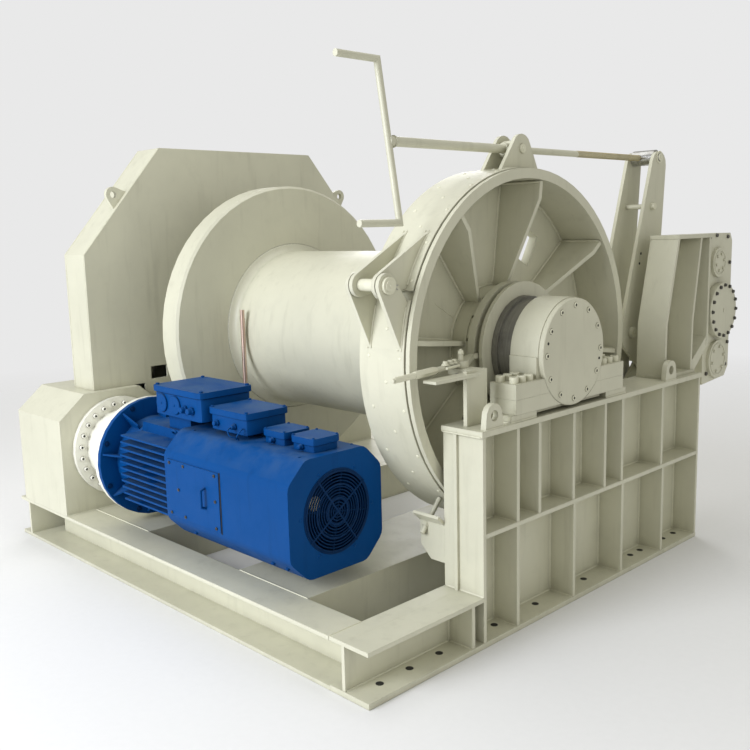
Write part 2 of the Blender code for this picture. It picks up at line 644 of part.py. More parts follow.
def band_brake(paint, steel, lining_colour):
    pin = polar(HINGE_RADIUS, HINGE_ANGLE)
    pin_hole = circle(*pin, HINGE_PIN + SEAT_GAP)
    upper_ear = belt((*pin, EAR_RING), on_band(138), on_band(156))
    lower_ear = belt((*pin, EAR_RING), on_band(175), on_band(162))
    trunnion = (TRUNNION_Y, TRUNNION_Z)
    top_ear = belt((*trunnion, 0.068), on_band(77), on_band(97))
    top_hole = circle(*trunnion, TRUNNION_PIN + SEAT_GAP)
    ears = [(upper_ear, UPPER_HINGE_X, pin_hole), (top_ear, EAR_PAIR_X, top_hole)]
    band_half("upper_band", UPPER_BAND, ears, paint)
    foot = polar(TIE_FOOT_RADIUS, TIE_FOOT_ANGLE)
    foot_ear = belt((*foot, 0.055), on_band(TIE_FOOT_ANGLE - 11), on_band(TIE_FOOT_ANGLE + 6))
    foot_pin = rod("x", foot, TIE_PIN, TIE_X[1] - 0.016, TIE_X[0] + 0.016)
    ears = [(lower_ear, LOWER_HINGE_X, pin_hole), (foot_ear, FOOT_EAR_X, None)]
    band_half("lower_band", LOWER_BAND, ears, paint, [foot_pin])
    lining("upper_lining", UPPER_BAND, lining_colour)
    lining("lower_lining", LOWER_BAND, lining_colour)
    length = (LOWER_HINGE_X[1] - 0.022, LOWER_HINGE_X[0] + 0.022)
    head = rod("x", pin, 0.036, LOWER_HINGE_X[0] + EAR_PLATE / 2 + SEAT_GAP, LOWER_HINGE_X[0] + 0.024)
    node("hinge_pin", welded(rod("x", pin, HINGE_PIN, *length), head), steel, (0, *pin))


def trunnion_block(name, at, low, high, paint):
    """A cross block between two plates, with stub pins along X and a bore along Y for the screw."""
    body = rod("x", at, TRUNNION_BLOCK, low, high)
    stubs = rod("x", at, TRUNNION_PIN, low - 0.026, high + 0.026)
    bore = rod("y", (SCREW_X, SCREW_Z), SCREW_RADIUS + NUT_GAP, at[0] - 0.2, at[0] + 0.2, 12)
    node(name, cut(welded(body, stubs), bore), paint, (SCREW_X, *at))


def spindle(paint, steel):
    """Crank, spindle and screw in one piece, turning in the band's trunnion."""
    x, z = SCREW_X, SCREW_Z
    lean = math.radians(CRANK_LEAN)
    arm = Vector((-math.sin(lean), 0, math.cos(lean))) * CRANK_ARM
    hub = Vector((x, CRANK_Y, z))
    high, low = hub + arm, hub - arm
    grip = Vector((0, -GRIP_LENGTH, 0))
    crank = bar([high + grip, high, low, low + grip], CRANK_BAR)
    collar, far = TRUNNION_Y - TRUNNION_BLOCK - 0.001, TRUNNION_Y + TRUNNION_BLOCK + 0.001
    parts = [
        rod("y", (x, z), SPINDLE_RADIUS, CRANK_Y, collar, 12),
        rod("y", (x, z), 0.030, collar - 0.022, collar, 12),
        rod("y", (x, z), SCREW_RADIUS, collar - 0.01, LEVER_TOP[0] + 0.13, 12),
        rod("y", (x, z), 0.027, far, far + 0.03, 12),
    ]
    node("brake_spindle", welded(crank, *parts), steel, (x, CRANK_Y, z))


def lever(paint, steel):
    top, pivot, tie = LEVER_TOP, LEVER_PIVOT, LEVER_TIE
    nut = (top[0], SCREW_Z)
    outline = belt((*top, 0.075), (*pivot, 0.105), (*tie, 0.078))
    holes = [circle(*nut, TRUNNION_PIN + SEAT_GAP), circle(*pivot, PIVOT_PIN + RUN_GAP),
             circle(*tie, TIE_PIN + RUN_GAP)]
    half = LEVER_PLATE / 2
    near, far = LEVER_PAIR_X
    node("lever_near_plate", prism("x", outline, near - half, near + half, holes), paint, (near, *pivot))
    body = prism("x", outline, far - half, far + half, holes)
    spacers = [rod("x", at, 0.014, far, near - half - SEAT_GAP, 12) for at in LEVER_SPACERS]
    node("lever_far_plate", welded(body, *spacers), paint, (far, *pivot))
    between = (far + half + SEAT_GAP, near - half - SEAT_GAP)
    trunnion_block("lever_nut", nut, *between, steel)
    ears = (EAR_PAIR_X[1] + EAR_PLATE / 2 + SEAT_GAP, EAR_PAIR_X[0] - EAR_PLATE / 2 - SEAT_GAP)
    trunnion_block("band_trunnion", (TRUNNION_Y, TRUNNION_Z), *ears, paint)
    foot = polar(TIE_FOOT_RADIUS, TIE_FOOT_ANGLE)
    link = belt((*tie, 0.045), (*foot, 0.045))
    loose = circle(*foot, TIE_PIN + TIE_SLACK)
    bars = [prism("x", link, x - TIE_PLATE / 2, x + TIE_PLATE / 2, [loose]) for x in TIE_X]
    pin = rod("x", tie, TIE_PIN, far - 0.03, near + 0.03)
    node("tie_bars", welded(*bars, pin), paint, (0, *tie))
    base = BASE_HEIGHT + SEAT_GAP
    y0, y1 = BASE_WIDTH - SIDE_BEAM_WIDTH + 0.004, BASE_WIDTH - 0.01
    stand = belt((*pivot, 0.07), (y0 + 0.01, base + 0.01, 0.01), (y1 - 0.01, base + 0.01, 0.01))
    flat = box((BRACKET_X - 0.09, y0, base), (BRACKET_X + 0.09, y1, base + 0.02))
    trim = box((-1, 0, 0), (0.5, BASE_WIDTH + 1, base))
    shaft = rod("x", pivot, PIVOT_PIN, far - 0.028, near + 0.028)
    boss = rod("x", pivot, 0.055, *between)
    web = prism("x", stand, BRACKET_X - 0.016, BRACKET_X + 0.016)
    node("lever_bracket", cut(welded(web, flat, boss, shaft), trim), paint)


def band_adjuster(paint):
    """The set screw under which the lower band comes to rest when the brake opens."""
    inner = 0.001 - END_BEAM_WIDTH - SEAT_GAP
    z = polar(ADJUSTER_RADIUS, ADJUSTER_ANGLE)[1]
    side = [(inner, z - 0.17), (ADJUSTER_X + 0.03, z - 0.17), (ADJUSTER_X - 0.03, z - 0.11),
            (ADJUSTER_X - 0.035, z + 0.0025), (inner, z + 0.0025)]
    web = prism("y", side, PEDESTAL_FRONT + 0.001, PEDESTAL_FRONT + 0.017)
    plate = radial_block(ADJUSTER_RADIUS, 0.014, ADJUSTER_ANGLE, 0.15, ADJUSTER_X - 0.04, inner - 0.001)
    stud = radial_rod(BAND_OUTER + ADJUSTER_GAP, ADJUSTER_RADIUS + 0.07, ADJUSTER_ANGLE, 0.011, ADJUSTER_X)
    nut = radial_rod(ADJUSTER_RADIUS + 0.012, ADJUSTER_RADIUS + 0.034, ADJUSTER_ANGLE, 0.02, ADJUSTER_X, 6)
    node("band_adjuster", welded(web, plate, stud, nut), paint)


def radial_rod(r0, r1, angle, radius, x, steps=12):
    """A round bar along a radius of the drum."""
    bm = prism("y", circle(0, 0, radius, steps), r0, r1)
    bm.transform(about_shaft(angle, x))
    return bm


def radial_block(radius, thickness, angle, width, x0, x1):
    bm = box((x0, radius, -width / 2), (x1, radius + thickness, width / 2))
    bm.transform(about_shaft(angle))
    return bm


# ---------------------------------------------------------------- gearing
def gear_outline(centre, teeth, phase, samples, face_gap=BACKLASH):
    """Spur gear outline with involute flanks; phase is the direction of one tooth's middle, in degrees."""
    pitch = GEAR_MODULE * teeth / 2
    base = pitch * math.cos(math.radians(PRESSURE_ANGLE))
    root, tip = pitch - 1.25 * GEAR_MODULE, pitch + GEAR_MODULE * 0.95

    def involute(radius):
        a = math.acos(min(1.0, base / radius))
        return math.tan(a) - a

    middle = math.pi / (2 * teeth) - face_gap / (4 * pitch) + involute(pitch)
    start = max(root, base)
    flank = [start + (tip - start) * i / (samples - 1) for i in range(samples)]
    points = []
    for k in range(teeth):
        turn = math.radians(phase) + TAU * k / teeth
        rising = [(r, turn - (middle - involute(r))) for r in flank]
        falling = [(r, turn + (middle - involute(r))) for r in reversed(flank)]
        if root < base:
            rising.insert(0, (root, rising[0][1]))
            falling.append((root, falling[-1][1]))
        points += [(centre[0] + r * math.cos(a), centre[1] + r * math.sin(a)) for r, a in rising + falling]
    return points


def gears(steel):
    centre, motor = (SHAFT_Y, SHAFT_Z), (MOTOR_Y, MOTOR_Z)
    mesh_angle = math.degrees(math.atan2(motor[1] - centre[1], motor[0] - centre[0]))
    x0, x1 = GEAR_X
    root = GEAR_MODULE * (GEAR_TEETH / 2 - 1.25)
    toothed = prism("x", gear_outline(centre, GEAR_TEETH, mesh_angle, 2), x0, x1)
    rim, hub, web = root - 0.06, 0.22, 0.018
    middle = (x0 + x1) / 2
    dish = [(x0 - 0.02, hub), (x0 - 0.02, rim), (middle - web, rim), (middle - web, hub)]
    other = [(2 * middle - x, r) for x, r in dish]
    holes = [rod("x", polar(0.57, 360 * i / 6 + 30), 0.15, x0 - 0.1, x1 + 0.1, 12) for i in range(6)]
    bore = rod("x", centre, SHAFT_RADIUS + SEAT_GAP, x0 - 0.1, x1 + 0.1, SIDES)
    gear = cut(toothed, revolve("x", centre, dish), revolve("x", centre, other), bore, *holes)
    node("main_gear", gear, steel, (0, *centre))
    phase = mesh_angle + 180 + 180 / PINION_TEETH
    teeth = prism("x", gear_outline(motor, PINION_TEETH, phase, 2), *PINION_X)
    shaft = rod("x", motor, PINION_SHAFT, GEARCASE_X[0] + 0.002, GEARCASE_X[1] + 0.045, 32)
    node("pinion", welded(teeth, shaft), steel, (0, *motor))


def guard_outline(inset=0.0):
    y, z = SHAFT_Y, SHAFT_Z
    half, top = GUARD_HALF - inset, GUARD_TOP - inset
    cz, cy = GUARD_CORNER_Z - inset * 0.4, GUARD_CORNER_Y - inset * 0.4
    return [(y - half, z + cz), (y - cy, z + top), (y + cy, z + top), (y + half, z + cz)]


def gear_guard(paint):
    floor = BASE_HEIGHT + SEAT_GAP
    case_top, case_side = GEARCASE_TOP + SEAT_GAP, GEARCASE_WIDTH + SEAT_GAP
    crown = guard_outline()
    plate = [(crown[0][0], case_top), *crown, (crown[3][0], floor), (case_side, floor), (case_side, case_top)]
    x0, x1 = GUARD_X
    shaft_hole = circle(SHAFT_Y, SHAFT_Z, 0.135, 32)
    window = rectangle(0.625, 0.925, 0.735, 1.0)
    node("guard_front_plate", prism("x", plate[::-1], x1 - GUARD_PLATE, x1, [shaft_hole, window]), paint)
    node("guard_back_plate", prism("x", plate[::-1], x0, x0 + GUARD_PLATE, [shaft_hole]), paint)
    inner = guard_outline(GUARD_PLATE)
    strip = [(crown[0][0], case_top), *crown, (crown[3][0], floor), (crown[3][0] - GUARD_PLATE, floor),
             *reversed(inner), (crown[0][0] + GUARD_PLATE, case_top)]
    strip = prism("x", strip, x0 + GUARD_PLATE + SEAT_GAP, x1 - GUARD_PLATE - SEAT_GAP)
    lugs = []
    for side in (-1, 1):
        base = Vector((SHAFT_Y + side * (GUARD_CORNER_Y + GUARD_HALF) / 2,
                       SHAFT_Z + (GUARD_CORNER_Z + GUARD_TOP) / 2))
        out = Vector((side * (GUARD_TOP - GUARD_CORNER_Z), GUARD_HALF - GUARD_CORNER_Y)).normalized()
        along = Vector((-out.y, out.x))
        tip = base + out * 0.05
        feet = [base - out * 0.006 + along * s * 0.06 for s in (-1, 1)]
        outline = belt((*tip, 0.045), *[(*f, 0.006) for f in feet])
        lugs.append(prism("x", outline, x1 - 0.055, x1 - 0.03, [circle(*tip, 0.02, 12)]))
    node("guard_rim", welded(strip, *lugs), paint)


def gearcase(paint, reducer_paint):
    x0, x1 = GEARCASE_X
    floor, top, width = BASE_HEIGHT + SEAT_GAP, GEARCASE_TOP, GEARCASE_WIDTH
    motor = (MOTOR_Y, MOTOR_Z)
    face = [(0.0, floor), (width, floor), (width, top - 0.063), (width - 0.072, top), (0.157, top),
            (0.0, top - 0.133)]
    hole = circle(*motor, PINION_SHAFT + 0.004, 32)
    node("gearcase_front_plate", prism("x", face, x1 - GEARCASE_PLATE, x1, [hole]), paint)
    wall = 0.02
    front = x1 - GEARCASE_PLATE - SEAT_GAP
    shell = prism("x", face, x0, front)
    room = [(wall, floor + wall), (width + 1, floor + wall), (width + 1, top - 0.075),
            (width - 0.08, top - wall), (0.165, top - wall), (wall, top - 0.142)]
    hollow = prism("x", room, x0 + wall, front + 0.1)
    bore = rod("x", motor, PINION_SHAFT + RUN_GAP, x0 - 0.1, x0 + 0.1, 32)
    slot = box((GUARD_X[0] + GUARD_PLATE, 0.30, 0.80), (GUARD_X[1] - GUARD_PLATE, width + 0.1, top + 0.1))
    node("gearcase_shell", cut(shell, hollow, bore, slot), paint)
    start, end = x1 + SEAT_GAP, MOTOR_FLANGE_X - SEAT_GAP
    journal = PINION_SHAFT + RUN_GAP
    quill = ROTOR_RADIUS + RUN_GAP
    flange, tube, adapter = REDUCER_FLANGE, REDUCER_RADIUS, ADAPTER_RADIUS
    reducer = [(start, journal), (start, flange), (start + 0.03, flange), (start + 0.03, tube),
               (end - 0.13, tube), (end - 0.05, adapter - 0.03), (end - 0.03, adapter), (end, adapter),
               (end, quill), (end - 0.06, quill), (end - 0.06, 0), (start + 0.06, 0), (start + 0.06, journal)]
    node("planetary_reducer", revolve("x", motor, reducer), reducer_paint)


# ---------------------------------------------------------------- gear-end bearing
def gear_end_support(paint):
    x0, x1 = GEAR_STAND_X
    base = BASE_HEIGHT + SEAT_GAP
    foot, head = 0.46, 0.24
    top = SHAFT_Z - BEARING_SPLIT
    outline = [(SHAFT_Y - foot, base), (SHAFT_Y + foot, base), (SHAFT_Y + head, top), (SHAFT_Y - head, top)]
    room = [(SHAFT_Y - foot + 0.06, base + 0.03), (SHAFT_Y + foot - 0.06, base + 0.03),
            (SHAFT_Y + head - 0.04, top - 0.03), (SHAFT_Y - head + 0.04, top - 0.03)]
    body = cut(prism("x", outline, x0, x1), prism("x", room, x0 + 0.03, x1 + 0.1))
    node("gear_end_stand", body, paint)
    shell = rod("x", (SHAFT_Y, SHAFT_Z), 0.2, x0 + 0.01, x1 - 0.01, SIDES)
    block = rectangle(SHAFT_Y - 0.225, top + SEAT_GAP, SHAFT_Y + 0.225, SHAFT_Z - 0.03)
    seat = prism("x", block, x0 + 0.012, x1 - 0.012)
    bore = rod("x", (SHAFT_Y, SHAFT_Z), SHAFT_RADIUS + RUN_GAP, x0 + 0.03, x1 + 0.1, SIDES)
    under = box((x0 - 0.1, 0, 0), (x1 + 0.1, 3, top + SEAT_GAP))
    node("gear_end_bearing", cut(welded(shell, seat), under, bore), paint)


# ---------------------------------------------------------------- motor
def rounded(points, radius, steps=3):
    """A polygon with its corners rounded off."""
    result = []
    count = len(points)
    for i, p in enumerate(points):
        here, before, after = Vector(p), Vector(points[i - 1]), Vector(points[(i + 1) % count])
        a, b = (before - here).normalized(), (after - here).normalized()
        half = a.angle(b) / 2
        back = radius / math.tan(half)
        centre = here + (a + b).normalized() * radius / math.sin(half)
        start, end = here + a * back - centre, here + b * back - centre
        for k in range(steps + 1):
            result.append(tuple(centre + start.normalized().slerp(end.normalized(), k / steps) * radius))
    return result


def fin_outline():
    """Motor frame section: a round body with level fins on both sides and upright ones below."""
    count, pitch, thick = 11, 0.034, 0.010
    points = []
    for side in (1, -1):
        for i in range(count):
            z = side * (-(count - 1) / 2 + i) * pitch
            lift = min(abs(z) + pitch / 2, FRAME_RADIUS * 0.93)
            root = min(math.sqrt(FRAME_RADIUS ** 2 - lift ** 2), FRAME_RADIUS * 0.97)
            tip = FIN_REACH - 0.018 * (abs(z) / (pitch * count / 2)) ** 2
            points += [(side * root, z - side * thick / 2), (side * tip, z - side * thick / 2),
                       (side * tip, z + side * thick / 2), (side * root, z + side * thick / 2)]
        flat = FRAME_RADIUS
        points += [(side * 0.11, side * flat), (-side * 0.11, side * flat)]
    return [(MOTOR_Y + y, MOTOR_Z + z) for y, z in points]


def cowl_outline(inset=0.0):
    half, top = COWL_HALF - inset, COWL_TOP - inset
    low, c = COWL_LOW - inset, COWL_CORNER - inset * 0.4
    y, z = MOTOR_Y, MOTOR_Z
    corners = [(y - half, z - low + c), (y - half + c, z - low), (y + half - c, z - low),
               (y + half, z - low + c), (y + half, z + top - c), (y + half - c, z + top),
               (y - half + c, z + top), (y - half, z + top - c)]
    return rounded(corners, 0.055, 2)


def about_motor(angle, x=0.0):
    return Matrix.Translation((x, MOTOR_Y, MOTOR_Z)) @ Matrix.Rotation(math.radians(angle), 4, "X")


def motor(blue, dark_blue, steel):
    centre = (MOTOR_Y, MOTOR_Z)
    bore = ROTOR_RADIUS + RUN_GAP
    face, back = MOTOR_FLANGE_X, FRAME_START_X
    edge = MOTOR_FLANGE_RADIUS
    shield = [(face, bore), (face, edge), (face + 0.028, edge), (face + 0.028, 0.225), (back, 0.215),
              (back, bore)]
    web = [(face + 0.02, 0.2), (face + 0.02, edge - 0.012), (face + 0.034, edge - 0.012),
           (back - 0.02, 0.240), (back - 0.02, 0.2)]
    ribs = []
    for i in range(8):
        rib = prism("z", web, -0.005, 0.005)
        rib.transform(about_motor(45 * i + 33.5))
        ribs.append(rib)
    node("motor_end_shield", welded(revolve("x", centre, shield), *ribs), blue)
    hole = circle(*centre, bore, 20)
    frame = prism("x", fin_outline(), back + SEAT_GAP, COWL_START_X - SEAT_GAP, [hole])
    node("motor_frame", frame, blue)
    body = prism("x", cowl_outline(), COWL_START_X, MOTOR_END_X, [hole])
    chamber = prism("x", cowl_outline(COWL_WALL), COWL_CHAMBER_X, MOTOR_END_X - COWL_WALL)
    inlet = rod("x", centre, FAN_INLET, MOTOR_END_X - 0.05, MOTOR_END_X + 0.05, SIDES)
    node("motor_cowl", cut(body, chamber, inlet), blue)
    f0, f1 = FAN_X
    shaft = rod("x", centre, ROTOR_RADIUS, MOTOR_FLANGE_X - 0.055, f1 + 0.01, 20)
    node("rotor_shaft", shaft, steel, (0, *centre))
    seat = ROTOR_RADIUS + SEAT_GAP
    hub = revolve("x", centre, [(f0, seat), (f0, 0.065), (f1, 0.055), (f1, seat)], 20)
    blades = []
    for i in range(FAN_BLADES):
        blade = box((-0.045, 0.05, -0.003), (0.045, FAN_REACH, 0.003))
        blade.transform(Matrix.Rotation(math.radians(38), 4, "Y"))
        blade.transform(about_motor(360 * i / FAN_BLADES, (f0 + f1) / 2))
        blades.append(blade)
    node("cooling_fan", welded(hub, *blades), dark_blue, (0, *centre))
    low, high, half = MOTOR_END_X + SEAT_GAP, MOTOR_END_X + 0.007, 0.004
    bars = []
    for r in GRILLE_RINGS:
        inner = circle(*centre, r - half)
        bars.append(prism("x", circle(*centre, r + half), low + 0.001, high - 0.001, [inner]))
    for i in range(2):
        bars.append(box((low, -GRILLE_REACH, -half), (high, GRILLE_REACH, half)))
        bars[-1].transform(about_motor(35 + 90 * i))
    node("fan_grille", welded(*bars), dark_blue)


def lidded_box(x0, x1, half, low, high, lip, corner=0.025):
    """A box with rounded corners and an overhanging lid, on the motor's centre line."""
    y, join = MOTOR_Y, high - 0.03
    body = rounded(rectangle(x0, y - half, x1, y + half), corner, 2)
    lid = rounded(rectangle(x0 - lip, y - half - lip, x1 + lip, y + half + lip), corner, 2)
    return [prism("z", body, low, join + 0.004), prism("z", lid, join, high)]


def motor_boxes(blue):
    """Terminal boxes on the frame and cowl, and the removable side panel."""
    y = MOTOR_Y
    cowl, frame = MOTOR_Z + COWL_TOP + SEAT_GAP, MOTOR_Z + FRAME_RADIUS + SEAT_GAP
    neck = box((-1.72, y - 0.09, frame), (-1.52, y + 0.09, 0.895))
    node("terminal_box", welded(neck, *lidded_box(-1.75, -1.33, 0.15, 0.885, 1.03, 0.008)), blue)
    foot = box((-1.25, y - 0.07, cowl), (-1.07, y + 0.07, cowl + 0.03))
    small = lidded_box(-1.30, -1.01, 0.12, cowl + 0.022, cowl + 0.125, 0.008)
    node("small_terminal_box", welded(foot, *small), blue)
    for i, x in enumerate(BLOWER_BOX_X):
        body = lidded_box(x - 0.075, x + 0.075, 0.075, cowl, cowl + 0.062, 0.006)
        node(f"blower_box_{i + 1}", welded(*body), blue)
    side = y - COWL_HALF
    flat = COWL_CORNER + 0.025
    low, high = MOTOR_Z - COWL_LOW + flat, MOTOR_Z + COWL_TOP - flat
    panel = box((-1.46, side - 0.006, low), (-1.03, side - SEAT_GAP, high))
    grip = [(-1.14, side - 0.003, MOTOR_Z - 0.05), (-1.14, side - 0.03, MOTOR_Z - 0.04),
            (-1.14, side - 0.03, MOTOR_Z + 0.04), (-1.14, side - 0.003, MOTOR_Z + 0.05)]
    node("cowl_side_panel", welded(panel, bar(grip, 0.006, 8)), blue)


# ---------------------------------------------------------------- rear auxiliary gearbox
def auxiliary_gearbox(paint):
    base = PEDESTAL_HEIGHT + SEAT_GAP
    x0, x1 = AUX_X
    foot, lean_z, top = AUX_FOOT_Y, 1.24, AUX_TOP
    edge, wall = BASE_WIDTH - 0.003, AUX_BOX_Y - SEAT_GAP
    back = [(foot, base), (edge, base), (edge, base + 0.02), (wall, base + 0.12), (wall, top),
            (foot + 0.125, top), (foot + 0.004, lean_z)]
    bodies = [prism("x", back, x0, x0 + 0.02)]
    t = 0.018
    for low_y, high_y in ((foot, foot + 0.121), (foot + 0.29, foot + 0.375)):
        rib = [(low_y, base), (low_y + t, base), (low_y + 0.004 + t, lean_z), (high_y + t, top - 0.004),
               (high_y, top - 0.004), (low_y + 0.004, lean_z)]
        bodies.append(prism("x", rib, x0 + 0.01, x1))
    bodies.append(box((x0 + 0.01, wall - 0.02, base + 0.13), (x1, wall, top - 0.004)))
    bodies.append(box((x0, foot + 0.115, top - 0.02), (x1 + 0.004, wall, top)))
    bodies.append(box((x0, foot - 0.005, base), (x1 + 0.005, edge, base + 0.018)))
    brace = [(edge - 0.03, base + 0.001), (edge, base + 0.001), (wall, base + 0.14), (wall, base + 0.20),
             (edge - 0.03, base + 0.06)]
    bodies.append(prism("x", brace, x0 + 0.005, x1 - 0.002))
    node("aux_bracket", welded(*bodies), paint)
    y0, y1, z0, c = AUX_BOX_Y, AUX_BOX_Y + AUX_BOX_WIDTH, AUX_BOX_LOW, 0.045
    face = [(y0, z0), (y1 - c, z0 + 0.02), (y1, z0 + c + 0.03), (y1, top - c), (y1 - c * 0.6, top), (y0, top)]
    housing = prism("x", face, x0 + 0.02, x1 - 0.03)
    y = AUX_BOX_Y + 0.165
    bosses = [rod("x", (y - 0.02, 1.545), 0.085, x1 - 0.05, x1 - 0.012, 28),
              rod("x", (y - 0.01, 0.985), 0.11, x1 - 0.05, x1 - 0.012, 28)]
    node("aux_gearbox", welded(housing, *bosses), paint)
    low, high = x1 - 0.03 + SEAT_GAP, x1 + 0.012
    cover = [(low, 0), (low, AUX_COVER), (high - 0.004, AUX_COVER), (high, AUX_COVER - 0.004), (high, 0)]
    node("aux_cover", revolve("x", (y, AUX_COVER_Z), cover, 40), paint)


def settle():
    """Move the machine so that the origin is the middle of its footprint, on the deck."""
    bpy.context.view_layer.update()
    pieces = list(bpy.context.scene.objects)
    corners = [obj.matrix_world @ Vector(c) for obj in pieces for c in obj.bound_box]
    low = Vector([min(p[i] for p in corners) for i in range(3)])
    high = Vector([max(p[i] for p in corners) for i in range(3)])
    for obj in pieces:
        obj.location -= Vector(((low.x + high.x) / 2, (low.y + high.y) / 2, low.z))
    print("lowest corner", tuple(low), "highest corner", tuple(high))


def main():
    for obj in list(bpy.data.objects):
        bpy.data.objects.remove(obj)
    paint = material("grey_paint", (0.50, 0.50, 0.40), 0.42)
    cream = material("cream_paint", (0.78, 0.77, 0.66), 0.40)
    blue = material("blue_paint", (0.0, 0.11, 0.40), 0.35)
    dark_blue = material("dark_blue_paint", (0.0, 0.05, 0.18), 0.40)
    steel = material("machined_steel", (0.55, 0.55, 0.56), 0.32, 1.0)
    dark = material("dark_steel", (0.07, 0.065, 0.06), 0.50, 0.7)
    bronze = material("bronze", (0.60, 0.42, 0.20), 0.35, 1.0)
    copper = material("copper", (0.72, 0.33, 0.17), 0.35, 1.0)
    friction = material("brake_lining", (0.12, 0.09, 0.07), 0.85)
    base_frame(paint)
    end_frame(paint)
    bearing(paint, steel)
    shaft_line(steel, dark, bronze)
    rope_drum(paint)
    brake_drum(paint)
    clutch(paint, steel)
    band_brake(paint, steel, friction)
    spindle(paint, steel)
    lever(paint, steel)
    band_adjuster(paint)
    gears(steel)
    gear_guard(paint)
    gearcase(paint, cream)
    gear_end_support(paint)
    motor(blue, dark_blue, steel)
    motor_boxes(blue)
    auxiliary_gearbox(paint)
    node("upright_rod", rod("z", ROD_AT, ROD_RADIUS, BASE_HEIGHT + SEAT_GAP, ROD_TOP, 12), copper)
    settle()


main()
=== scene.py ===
"""Finish and fittings of an electric drum winch, built round its frame.

Metres, +Z up. X runs along the drum shaft towards the bearing pedestal, Y from the motor side to the brake
lever, and Z = 0 is the deck. Most places are given from one corner of the base, by the function spot.
"""

import json
import math

import bmesh
import bpy
from bpy.props import FloatProperty, FloatVectorProperty, IntProperty, PointerProperty
from mathutils import Matrix, Vector


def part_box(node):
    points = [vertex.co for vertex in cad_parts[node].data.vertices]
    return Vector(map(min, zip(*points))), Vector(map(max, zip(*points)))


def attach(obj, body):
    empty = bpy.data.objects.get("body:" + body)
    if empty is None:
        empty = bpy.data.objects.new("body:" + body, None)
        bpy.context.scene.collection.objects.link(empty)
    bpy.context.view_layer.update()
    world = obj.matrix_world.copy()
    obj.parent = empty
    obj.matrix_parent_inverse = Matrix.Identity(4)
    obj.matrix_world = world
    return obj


bl_info = {
    "name": "Drum Winch Finish",
    "version": (1, 0, 0),
    "blender": (4, 5, 0),
    "location": "View3D > Sidebar > Winch",
    "description": "Paints, fasteners, welds and small fittings of an electric drum winch",
    "category": "Object",
}

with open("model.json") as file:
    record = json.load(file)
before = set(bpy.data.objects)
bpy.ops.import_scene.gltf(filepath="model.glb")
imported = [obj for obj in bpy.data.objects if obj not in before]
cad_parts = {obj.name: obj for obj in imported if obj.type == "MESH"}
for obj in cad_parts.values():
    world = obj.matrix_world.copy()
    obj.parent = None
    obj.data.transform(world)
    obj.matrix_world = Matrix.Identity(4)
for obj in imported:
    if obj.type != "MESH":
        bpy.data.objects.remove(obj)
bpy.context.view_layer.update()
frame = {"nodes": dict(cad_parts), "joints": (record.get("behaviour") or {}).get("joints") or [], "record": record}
NODES = frame["nodes"]
JOINTS = {joint["name"]: joint for joint in frame["joints"]}
MOUNTS = {mount["name"]: mount for mount in frame["record"]["mounts"]}
TAU = 2 * math.pi
X, Y, Z = Vector((1, 0, 0)), Vector((0, 1, 0)), Vector((0, 0, 1))


def low(node):
    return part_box(node)[0]


def high(node):
    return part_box(node)[1]


# ---------------- where things are
TOP_PLATE_LIP = 0.006  # the top plate stands out of the pedestal's face
END_X = high("bearing_pedestal").x - TOP_PLATE_LIP
FRONT_Y = low("bearing_pedestal").y
SHAFT_Y, SHAFT_Z = JOINTS["drum_spin"]["pos_m"][1:]
MOTOR_Y, MOTOR_Z = JOINTS["rotor_spin"]["pos_m"][1:]
SCREW_X, _, SCREW_Z = JOINTS["crank_turn"]["pos_m"]
PEDESTAL_TOP = MOUNTS["pedestal_top_pad"]["pos_m"][2]
BASE_TOP = high("base_front_beam").z

# On the base and the pedestal: Y from the front corner, X from the bearing end, Z from the deck
BASE_BACK = high("base_rear_beam").y - FRONT_Y
SILL = 0.024  # top of the bottom flange
BEAM_WIDTH = 0.178
BASE_RIB = 0.62
UPPER_RIBS = (0.93, 1.09, 1.36, 1.63, 1.79, 2.19)
LOWER_RIBS = (0.93, 1.37, 1.80, 2.21)
RIB_HALF = 0.010
PEDESTAL_FRONT, PEDESTAL_BACK = 0.703, BASE_BACK - 0.018
PEDESTAL_WEB = -0.135
MID_RAIL = 0.495
LUGS = (0.765, 2.27)
ANCHOR_HOLES = (0.14, 0.31, 0.49, 0.75, 0.86, 1.17, 1.58, 2.03, 2.13, 2.38, 2.50)

# Along the shafts, from the bearing end
WEB_FACE = -0.495
WEB_RIM = -0.262
BARREL_END = -0.549
MOTOR_FLANGE = -2.047
REDUCER_FLANGE = -2.4097
GUARD_FACES = (-2.5124, -2.7296)

# Round the drum shaft; angles are in degrees from +Y towards +Z
HUB_RADIUS, RIM_RADIUS = 0.293, 0.788
SPOKES, FIRST_SPOKE, SPOKE_HALF = 8, 37.5, 0.011
STRAP_RADIUS = 0.8406
COVER_SCREW_RISE = 0.0054  # the screws end flush with the top plate's edge


def spot(x, y, z):
    """A point measured from the base's front corner at the bearing end; x is minus towards the gears."""
    return Vector((END_X + x, FRONT_Y + y, z))


def ray(angle):
    """A direction across the shafts."""
    return Vector((0, math.cos(math.radians(angle)), math.sin(math.radians(angle))))


def round_shaft(x, radius=0.0, angle=0.0):
    return Vector((x, SHAFT_Y, SHAFT_Z)) + ray(angle) * radius


def round_motor(x, radius=0.0, angle=0.0):
    return Vector((x, MOTOR_Y, MOTOR_Z)) + ray(angle) * radius


def on_joint(joint, x):
    """A point on the axis of a joint that turns about X."""
    return Vector((x, *JOINTS[joint]["pos_m"][1:]))


def both_faces(near, far=None):
    """The outer faces of a node, or of two, with the way each one looks."""
    return (high(near).x, X), (low(far or near).x, -X)


# ---------------- settings a user would change
def length(name, text, default):
    return FloatProperty(name=name, description=text, default=default, min=0.0, unit="LENGTH", precision=4)


def tint(name, text, default):
    return FloatVectorProperty(name=name, description=text, default=default, size=3, min=0.0, max=1.0,
                               subtype="COLOR")


